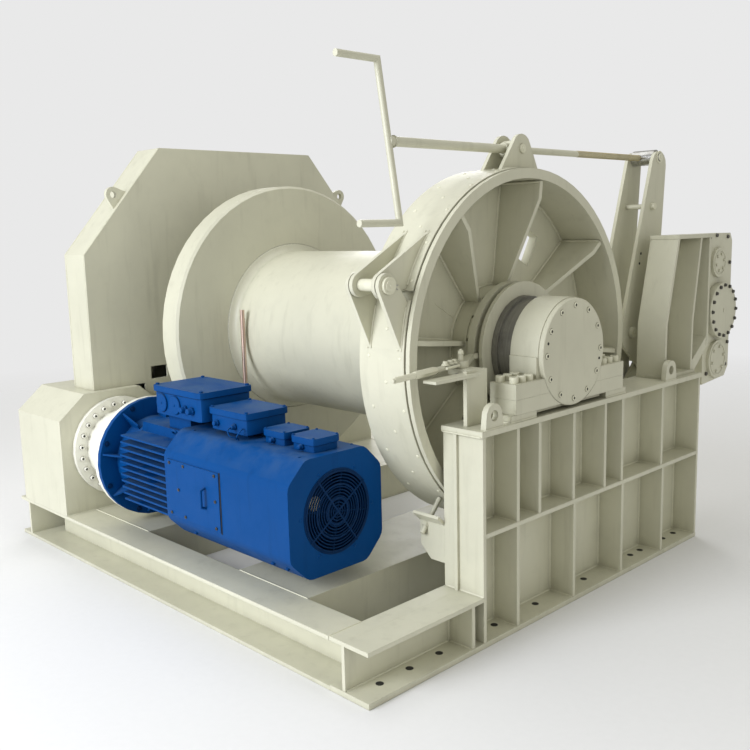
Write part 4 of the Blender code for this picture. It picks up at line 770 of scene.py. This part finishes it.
class WINCH_OT_brake_gear(WinchStep, bpy.types.Operator):
    """Thread, crank joints, pins and washers of the brake's screw and lever"""

    bl_idname = "winch.brake_gear"
    bl_label = "Brake Screw and Lever Fittings"

    def build(self, sizes):
        bm = bmesh.new()
        start, end = FRONT_Y + 1.95, high("brake_spindle").y - 0.004
        steps = round((end - start) / sizes.thread_pitch * 12)
        section = ((0.0152, -0.0024), (0.0169, -0.0006), (0.0169, 0.0006), (0.0152, 0.0024))
        sections = []
        for k in range(steps + 1):
            a, y = TAU * k / 12, start + (end - start) * k / steps
            sections.append([Vector((SCREW_X + r * math.cos(a), y + h, SCREW_Z + r * math.sin(a)))
                             for r, h in section])
        loop(bm, sections)
        piece("brake_screw_thread", bm, "thread", "spindle", sharp=60)
        hub = Vector((SCREW_X, low("brake_spindle").y + 0.245, SCREW_Z))
        turns = [TAU * k / 20 for k in range(20)]
        ring = [(0.021 * math.cos(a), 0.012 + 0.003 * abs(math.cos(a)), 0.021 * math.sin(a)) for a in turns]
        fitted("crank_weld", "weld_paint", disc, [(hub + Vector(at), Y) for at in ring],
               0.0052, 0.004, 8, body="spindle")
        plates = both_faces("lever_near_plate", "lever_far_plate")
        eyes = [(on_joint("nut_swing", x), way) for x, way in plates]
        fitted("lever_top_pins", "bolt_paint", collar, eyes, 0.0235, 0.034, 0.004, body="lever")
        small = (0.006, 0.003, 12)
        pin_ends("lever_tie_pins", "tie_bars", "tie_swing", "lever", 0.02108, tip=small)
        pin_ends("lever_pivot_caps", "lever_bracket", "lever_swing", "base", 0.02728, tip=small)
        pin_ends("trunnion_pin_ends", "band_trunnion", "trunnion_swing", "band_trunnion", 0.021, 0.003,
                 (0.008, 0.004, 16))
        pin_ends("lever_nut_pin_ends", "lever_nut", "nut_swing", "lever_nut", 0.0205)
        bolts = [(spot(x - END_X, 2.542, 1.869), way, spin) for (x, way), spin in zip(plates, (0.3, 0.1))]
        fitted("lever_spacer_bolts", "bolt_paint", hex_bolt, bolts, 0.034, body="lever")
        near = plates[0][0] - END_X
        drilled = [(spot(near, y, z), X) for y, z in ((2.436, 1.612), (2.422, 1.558))]
        fitted("lever_small_holes", "hollow", hole, drilled,
               (0.0045, 0.0075, 0.001, 20), (0.005, 0.0006, 16), body="lever")


class WINCH_OT_clutch(WinchStep, bpy.types.Operator):
    """Grip, clamp and catch of the clutch's shift handle"""

    bl_idname = "winch.clutch"
    bl_label = "Clutch Handle Fittings"

    def build(self, sizes):
        pivot = Vector(JOINTS["shift_lever"]["pos_m"])
        tip = Vector((pivot.x + 0.078, low("shift_handle").y, pivot.z))
        along = (tip - pivot).normalized()
        bm = bmesh.new()
        turn(bm, facing(pivot + along * 0.20, along),
             [(0, 0), (0, 0.014), (0.012, 0.017), (0.145, 0.017), (0.157, 0.0145), (0.157, 0)], 24,
             six=(2, 3))
        turn(bm, facing(pivot + along * 0.355, along),
             [(0, 0), (0, 0.0125), (0.13, 0.0125), (0.14, 0.0115), (0.14, 0)], 20)
        piece("shift_handle_grip", bm, "bolt_paint", "shift_handle", "machined_steel")
        bm = bmesh.new()
        across = along.cross(Z).normalized()
        for side in (-1, 1):
            start = pivot + across * side * 0.020 + along * 0.045
            sweep(bm, [start, start + along * 0.10], 0.0065, 10)
        for reach in (0.055, 0.085, 0.125):
            at = pivot + along * reach + Z * 0.010
            disc(bm, facing(at, Z), 0.016, 0.006, 24)
            hex_bolt(bm, facing(at + Z * 0.006, Z, reach * 9), 0.019)
        piece("shift_handle_clamp", bm, "bolt_paint", "shift_handle", "machined_steel")
        fitted("shift_pivot_nut", "bolt_paint", hex_bolt, [(pivot + Z * 0.044, Z, 0.2)], 0.024, 0.006)
        bm = bmesh.new()
        middle = pivot + Vector((0.03, -0.06, -0.045))
        sweep(bm, [middle + ray(18 * k) * 0.014 for k in range(20)], 0.0022, 8, closed=True)
        piece("shift_catch_ring", bm, "long_steel")


# ---------------- motor and gearing
BOXES = {  # name: inset and radius of the lid's screws, depth of the lid's seal
    "terminal_box": (0.022, 0.010, 0.033),
    "small_terminal_box": (0.018, 0.008, 0.032),
    "blower_box_1": (0.014, 0.006, 0.032),
    "blower_box_2": (0.014, 0.006, 0.032),
}
PANEL_SCREWS = ((-1.435, 0.700), (-1.315, 0.700), (-1.06, 0.700), (-1.06, 0.579), (-1.06, 0.452),
                (-1.315, 0.452), (-1.435, 0.452), (-1.364, 0.577))


class WINCH_OT_motor(WinchStep, bpy.types.Operator):
    """Flange bolts, eye bolts, box lids, glands, panel screws and leads of the motor"""

    bl_idname = "winch.motor"
    bl_label = "Motor Fittings"

    def build(self, sizes):
        seats = [(round_motor(END_X + MOTOR_FLANGE, sizes.motor_circle, 22.5 + 45 * k), X) for k in range(8)]
        fitted("motor_flange_spot_faces", "blue_paint", collar, seats, 0.0145, 0.0185, 0.0015, 28)
        bm = bmesh.new()
        profile = [(0, 0), (0, 0.0105), (0.0025, 0.0105), (0.0035, 0.009), (0.0035, 0)]
        for k, seat in enumerate(seats):
            disc(bm, facing(*seat), 0.0150, 0.0006, 28)
            turn(bm, facing(*seat, 0.25 * k), profile, 24, six=(1, 2))
        piece("motor_flange_bolt_ends", bm, "dark_blue_paint")
        circle = [(round_motor(END_X + REDUCER_FLANGE, sizes.reducer_circle, 15 * k + 7.5), X, 0.3 * k)
                  for k in range(24)]
        socket_ring("reducer_flange", "cream_paint", circle, sizes.reducer_screw,
                    sizes.reducer_screw * 1.15, "cream_paint")
        self.boxes()
        self.cowl(sizes)
        self.leads()

    def boxes(self):
        bm = bmesh.new()
        for name, (inset, radius, _) in BOXES.items():
            (x0, y0, _), (x1, y1, z1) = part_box(name)
            for x in (x0 + inset, x1 - inset):
                for y in (y0 + inset, y1 - inset):
                    socket_screw(bm, facing(Vector((x, y, z1)), Z, x), radius, radius * 0.8, 18)
        piece("box_lid_screws", bm, "blue_paint")
        bm = bmesh.new()
        corner, top = low("terminal_box"), high("terminal_box").z
        for out in (0.085, 0.205):
            at = Vector((corner.x + out, corner.y + 0.008, top - 0.085))
            disc(bm, facing(at, -Y), 0.046, 0.010, 36, 0.003)
            disc(bm, facing(at - Y * 0.010, -Y), 0.006, 0.003, 12)
        for out in (0.295, 0.355):
            self.gland(bm, Vector((corner.x + out, corner.y + 0.008, top - 0.095)), -Y, 0.017)
        corner, top = low("small_terminal_box"), high("small_terminal_box").z
        for out in (0.07, 0.21):
            self.gland(bm, Vector((corner.x + out, corner.y + 0.008, top - 0.070)), -Y, 0.013)
        for name in ("blower_box_1", "blower_box_2"):
            (x0, y0, _), (x1, y1, z1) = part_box(name)
            self.gland(bm, Vector(((x0 + x1) / 2, y0 + 0.006, z1 - 0.042)), -Y, 0.012)
            self.gland(bm, Vector((x0 + 0.006, (y0 + y1) / 2, z1 - 0.042)), -X, 0.009)
        piece("box_glands", bm, "blue_paint")
        bm = bmesh.new()
        edge, cut = 0.007, 0.03
        for name, (_, _, drop) in BOXES.items():
            (x0, y0, _), (x1, y1, z1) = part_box(name)
            corners = [(x0 + edge, y0 + cut), (x0 + cut, y0 + edge), (x1 - cut, y0 + edge),
                       (x1 - edge, y0 + cut), (x1 - edge, y1 - cut), (x1 - cut, y1 - edge),
                       (x0 + cut, y1 - edge), (x0 + edge, y1 - cut)]
            sweep(bm, [Vector((x, y, z1 - drop)) for x, y in corners], 0.0016, 6, closed=True)
        piece("box_lid_seals", bm, "dark_blue_paint")

    @staticmethod
    def gland(bm, at, way, radius):
        """A cable gland: hexagon body and domed nut."""
        profile = ((0, 0), (0, 1.25), (0.7, 1.25), (0.8, 1), (1.9, 0.86), (2.1, 0.6), (2.1, 0))
        turn(bm, facing(at, way), [(h * radius, r * radius) for h, r in profile], 24, six=(1, 2))

    def cowl(self, sizes):
        side = low("motor_cowl").y
        top, bottom = high("motor_cowl").z, low("motor_cowl").z
        screws = [(Vector((END_X + x, side - 0.006, z)), -Y) for x, z in PANEL_SCREWS]
        fitted("panel_screws", "dark_bolt", socket_screw, screws, 0.0075, 0.005, 18)
        inlet = round_motor(high("motor_cowl").x)
        fitted("grille_screws", "blue_paint", rivet,
               [(inlet + ray(60 * k - 2) * 0.207, X) for k in range(6)], 0.0085)
        bm = bmesh.new()
        at = inlet + X * 0.0045
        for k in range(1, sizes.grille_rings + 1):
            count = 24 + 4 * k
            ring = [at + ray(360 * n / count) * k * sizes.grille_pitch for n in range(count)]
            sweep(bm, ring, sizes.grille_wire, 6, closed=True)
        at -= X * 0.0035
        for angle in (35, 80, 125, 170):
            reach = ray(angle) * sizes.grille_pitch * sizes.grille_rings
            sweep(bm, [at - reach, at + reach], sizes.grille_wire, 6)
        piece("fan_grille_wires", bm, "dark_blue_paint")
        fitted("fan_inlet_rim", "dark_blue_paint", collar, [(inlet, X)], 0.180, 0.190, 0.003, 64)
        bm = bmesh.new()
        route = [Vector((END_X - 1.026, side - 0.001, MOTOR_Z + z)) for z in (-0.150, -0.06, 0.04, 0.139)]
        sweep(bm, smooth_route(route, 4), 0.0028, 8)
        piece("cowl_seam", bm, "hollow", slot="dark_blue_paint")
        bm = bmesh.new()
        chamfer = Vector((0, -1, -1)).normalized()
        for x in (-1.32, -0.72, -0.62):
            hex_bolt(bm, facing(Vector((END_X + x, side + 0.05, bottom + 0.05)), chamfer, x), 0.016)
        for x in (-1.40, -0.60):
            for y in (-0.15, 0.15):
                rivet(bm, facing(Vector((END_X + x, MOTOR_Y + y, top)), Z), 0.008)
        piece("cowl_screws", bm, "blue_paint")
        bm = bmesh.new()
        for side in (-1, 1):
            seat = Vector((low("cowl_side_panel").x - 0.075, MOTOR_Y + side * 0.150, MOTOR_Z + 0.20))
            way = Vector((0, side * 0.6, 0.8))
            shank = [(0, 0), (0, 0.016), (0.03, 0.016), (0.036, 0.011), (0.036, 0)]
            turn(bm, facing(seat - way * 0.02, way), shank, 16)
            middle = seat + way * 0.038
            eye = [middle + (way * math.cos(a) + X * math.sin(a)) * 0.019
                   for a in (TAU * k / 24 for k in range(24))]
            sweep(bm, eye, 0.0055, 8, closed=True)
        piece("motor_eye_bolts", bm, "blue_paint")

    @staticmethod
    def leads():
        bm = bmesh.new()
        (x0, y0, _), (x1, _, z1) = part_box("small_terminal_box")
        cowl_top = high("motor_cowl").z
        for x, out, aside in ((x0 + 0.21, -0.018, 0.03), (x1 - 0.03, 0.004, -0.02)):
            start = Vector((x, y0 + out, z1 - 0.070))
            foot = Vector((x + aside, y0 - 0.012, cowl_top - 0.012))
            route = [start, start + Vector((0.005, -0.020, -0.008)), start.lerp(foot, 0.5) - Y * 0.022,
                     foot + Z * 0.02, foot]
            sweep(bm, smooth_route(route, 6), 0.0032, 8)
        piece("motor_leads", bm, "blue_paint")


GUARD_CROWN = ((-1.097, 0.471), (-0.577, 1.077), (0.577, 1.077), (1.097, 0.471))  # from the shaft
AUX_BOX_SCREWS = ((0.040, 0.42), (0.125, 0.43), (0.265, 0.42), (0.045, -0.36), (0.14, -0.365),
                  (0.285, -0.33), (0.300, 0.27), (0.305, -0.20), (0.028, 0.17), (0.028, -0.17))


class WINCH_OT_gear_housings(WinchStep, bpy.types.Operator):
    """Welds of the gear guard and gearcase, and the screws of the auxiliary gearbox"""

    bl_idname = "winch.gear_housings"
    bl_label = "Gear Housing Welds and Screws"

    def build(self, sizes):
        r = sizes.weld * 0.8
        corners = [Vector((0, SHAFT_Y + y, SHAFT_Z + z)) for y, z in GUARD_CROWN]
        corners.insert(0, Vector((0, corners[0].y, high("gearcase_shell").z)))
        corners.append(Vector((0, corners[-1].y, BASE_TOP)))
        bm = bmesh.new()
        for shift in (X * (END_X + x) for x in GUARD_FACES):
            for a, b in zip(corners, corners[1:]):
                bead(bm, a + shift, b + shift, r * 0.5, 0.014)
        piece("guard_edge_welds", bm, "weld_paint")
        bm = bmesh.new()
        case_end = high("gearcase_front_plate").y
        for node, y0, y1 in (("gearcase_front_plate", low("gearcase_front_plate").y, case_end),
                             ("guard_front_plate", case_end, high("guard_front_plate").y)):
            x = high(node).x
            bead(bm, Vector((x, y0, BASE_TOP)), Vector((x, y1, BASE_TOP)), r)
        piece("gearcase_welds", bm, "weld_paint")
        cover = (low("aux_cover") + high("aux_cover")) / 2
        cover.x = high("aux_cover").x
        box_low, box_face = low("aux_gearbox"), high("aux_gearbox").x
        bm = bmesh.new()
        for k in range(16):
            hex_bolt(bm, facing(cover + ray(22.5 * k) * 0.146, X, 0.5 * k), 0.017)
        for y, z in AUX_BOX_SCREWS:
            hex_bolt(bm, facing(Vector((box_face - 0.02, box_low.y + y, cover.z + z)), X, y * 30), 0.019)
        piece("aux_gearbox_screws", bm, "dark_bolt")
        bm = bmesh.new()
        disc(bm, facing(cover, X), 0.012, 0.003, 20)
        for y, z, radius in ((0.145, 1.545, 0.070), (0.155, 0.985, 0.094)):
            at = Vector((box_face, box_low.y + y, z))
            collar(bm, facing(at, X), radius - 0.006, radius, 0.003, 48)
            for k in range(6):
                hex_bolt(bm, facing(at + ray(60 * k + 15) * (radius - 0.022), X, k), 0.014)
        piece("aux_cover_bosses", bm, "grey_paint")
        backs = [(Vector((box_low.x, box_low.y + 0.16, z)), -X, z) for z in (1.52, 1.10)]
        fitted("aux_gearbox_back_bolts", "dark_bolt", hex_bolt, backs, 0.03)


class WINCH_OT_gear_end(WinchStep, bpy.types.Operator):
    """Bolts of the gear-end bearing and the seal ring round the pinion shaft"""

    bl_idname = "winch.gear_end"
    bl_label = "Gear End Fittings"

    def build(self, sizes):
        face = low("gear_end_bearing").x
        circle = [(round_shaft(face, 0.165, 22.5 + 45 * k), -X, 0.4 * k) for k in range(8)]
        fitted("gear_end_bearing_bolts", "bolt_paint", hex_bolt, circle, 0.03)
        bm = bmesh.new()
        back = low("gearcase_shell").x
        for k in range(8):
            hex_bolt(bm, facing(round_motor(back, 0.125, 45 * k), -X, 0.2 * k), 0.022)
        collar(bm, facing(round_motor(back), -X), 0.085, 0.148, 0.002, 48)
        piece("pinion_seal_ring", bm, "bolt_paint")


# ---------------- stage
LIGHTS = {  # name: place, aim, size, watts, colour
    "key": ((-0.2, -7.8, 3.4), (0.2, -0.4, 0.9), 4.5, 520.0, (0.95, 0.98, 1.06)),
    "fill": ((7.5, -1.5, 3.0), (0.8, 0.0, 0.9), 5.0, 50.0, (1.0, 0.99, 0.93)),
    "top": ((-0.5, 0.2, 7.5), (0.0, 0.0, 0.8), 6.0, 140.0, (1.0, 1.0, 0.98)),
    "back": ((-6.5, 5.5, 4.5), (0.0, 0.0, 0.9), 5.0, 180.0, (1.0, 1.0, 1.0)),
}
FLOOR_RADIUS = 9.0
AMBIENT = 0.50
CAMERA_AT = (2.2888, -2.1477, 1.7875)  # from the base's front corner at the bearing end


class WINCH_OT_stage(WinchStep, bpy.types.Operator):
    """Pale floor, soft lights and the camera"""

    bl_idname = "winch.stage"
    bl_label = "Stage"

    def build(self, sizes):
        scene = bpy.context.scene
        self.floor(tuple(scene.winch_colours.floor))
        self.world(tuple(scene.winch_colours.floor))
        for name, (place, aim, size, watts, colour) in LIGHTS.items():
            lamp = bpy.data.lights.new(name, "AREA")
            lamp.shape, lamp.size, lamp.energy, lamp.color = "DISK", size, watts, colour
            obj = bpy.data.objects.new(name, lamp)
            obj.location = place
            obj.rotation_euler = (Vector(aim) - Vector(place)).to_track_quat("-Z", "Y").to_euler()
            scene.collection.objects.link(obj)
        self.camera(scene)
        scene.view_settings.view_transform = "Standard"
        scene.view_settings.look = "None"

    @staticmethod
    def floor(colour):
        mesh = bpy.data.meshes.new("floor")
        bm = bmesh.new()
        bmesh.ops.create_circle(bm, cap_ends=True, segments=96, radius=FLOOR_RADIUS)
        bm.to_mesh(mesh)
        bm.free()
        made = bpy.data.materials.new("studio_floor")
        tree = blank(made)
        coords = add(tree, "ShaderNodeTexCoord").outputs["Object"]
        away = add(tree, "ShaderNodeVectorMath", {"Vector": coords}, operation="LENGTH").outputs["Value"]
        fade = spread(tree, away, FLOOR_RADIUS * 0.30, FLOOR_RADIUS * 0.92)
        speck = noise(tree, coords, 30.0)
        tone = mix(tree, spread(tree, speck, 0.3, 0.7), scaled(colour, 0.985), colour)
        matt = add(tree, "ShaderNodeBsdfDiffuse", {"Color": tone}).outputs[0]
        clear = add(tree, "ShaderNodeBsdfTransparent").outputs[0]
        blend = add(tree, "ShaderNodeMixShader", {0: fade, 1: matt, 2: clear}).outputs[0]
        add(tree, "ShaderNodeOutputMaterial", {"Surface": blend})
        mesh.materials.append(made)
        floor = bpy.data.objects.new("floor", mesh)
        floor.location.z = -0.001
        bpy.context.scene.collection.objects.link(floor)

    @staticmethod
    def world(colour):
        world = bpy.data.worlds.new("studio")
        tree = blank(world)
        seen = add(tree, "ShaderNodeBackground", {"Color": (*colour, 1.0), "Strength": 1.0}).outputs[0]
        warm = {"Color": (1.0, 0.99, 0.93, 1.0), "Strength": AMBIENT}
        around = add(tree, "ShaderNodeBackground", warm).outputs[0]
        straight = add(tree, "ShaderNodeLightPath").outputs["Is Camera Ray"]
        blend = add(tree, "ShaderNodeMixShader", {0: straight, 1: around, 2: seen}).outputs[0]
        add(tree, "ShaderNodeOutputWorld", {"Surface": blend})
        bpy.context.scene.world = world

    @staticmethod
    def camera(scene):
        view = scene.winch_camera
        data = bpy.data.cameras.new("camera")
        data.lens, data.sensor_width, data.sensor_fit = view.lens, 36.0, "HORIZONTAL"
        data.clip_start, data.clip_end = 0.05, 100.0
        ahead = Vector((-math.sin(view.heading) * math.cos(view.dip),
                        math.cos(view.heading) * math.cos(view.dip), -math.sin(view.dip)))
        level = ahead.cross(Z).normalized()
        upright = level.cross(ahead)
        right = level * math.cos(view.roll) + upright * math.sin(view.roll)
        above = right.cross(ahead)
        turned = Matrix((right, above, -ahead)).transposed().to_4x4()
        camera = bpy.data.objects.new("camera", data)
        camera.matrix_world = Matrix.Translation(spot(*CAMERA_AT)) @ turned
        scene.collection.objects.link(camera)
        scene.camera = camera


# ---------------- panel and registration
STEPS = (WINCH_OT_finish, WINCH_OT_bearing, WINCH_OT_pedestal, WINCH_OT_base, WINCH_OT_drum, WINCH_OT_band,
         WINCH_OT_brake_gear, WINCH_OT_clutch, WINCH_OT_motor, WINCH_OT_gear_housings, WINCH_OT_gear_end,
         WINCH_OT_stage)
GROUPS = {"winch_sizes": WinchSizes, "winch_colours": WinchColours, "winch_camera": WinchCamera}


class WINCH_PT_panel(bpy.types.Panel):
    """Sizes, colours and steps of the winch"""

    bl_idname = "WINCH_PT_panel"
    bl_label = "Drum Winch"
    bl_space_type = "VIEW_3D"
    bl_region_type = "UI"
    bl_category = "Winch"

    def draw(self, context):
        for attribute, group in GROUPS.items():
            column = self.layout.box().column()
            for name in group.__annotations__:
                column.prop(getattr(context.scene, attribute), name)
        for step in STEPS:
            self.layout.operator(step.bl_idname)


def register():
    for group in GROUPS.values():
        bpy.utils.register_class(group)
    for attribute, group in GROUPS.items():
        setattr(bpy.types.Scene, attribute, PointerProperty(type=group))
    for made in (*STEPS, WINCH_PT_panel):
        bpy.utils.register_class(made)


def unregister():
    for made in (WINCH_PT_panel, *reversed(STEPS)):
        bpy.utils.unregister_class(made)
    for attribute in GROUPS:
        delattr(bpy.types.Scene, attribute)
    for group in reversed(GROUPS.values()):
        bpy.utils.unregister_class(group)


def main():
    register()
    for step in STEPS:
        category, name = step.bl_idname.split(".")
        getattr(getattr(bpy.ops, category), name)()
    bpy.context.view_layer.update()


if __name__ == "__main__":
    main()
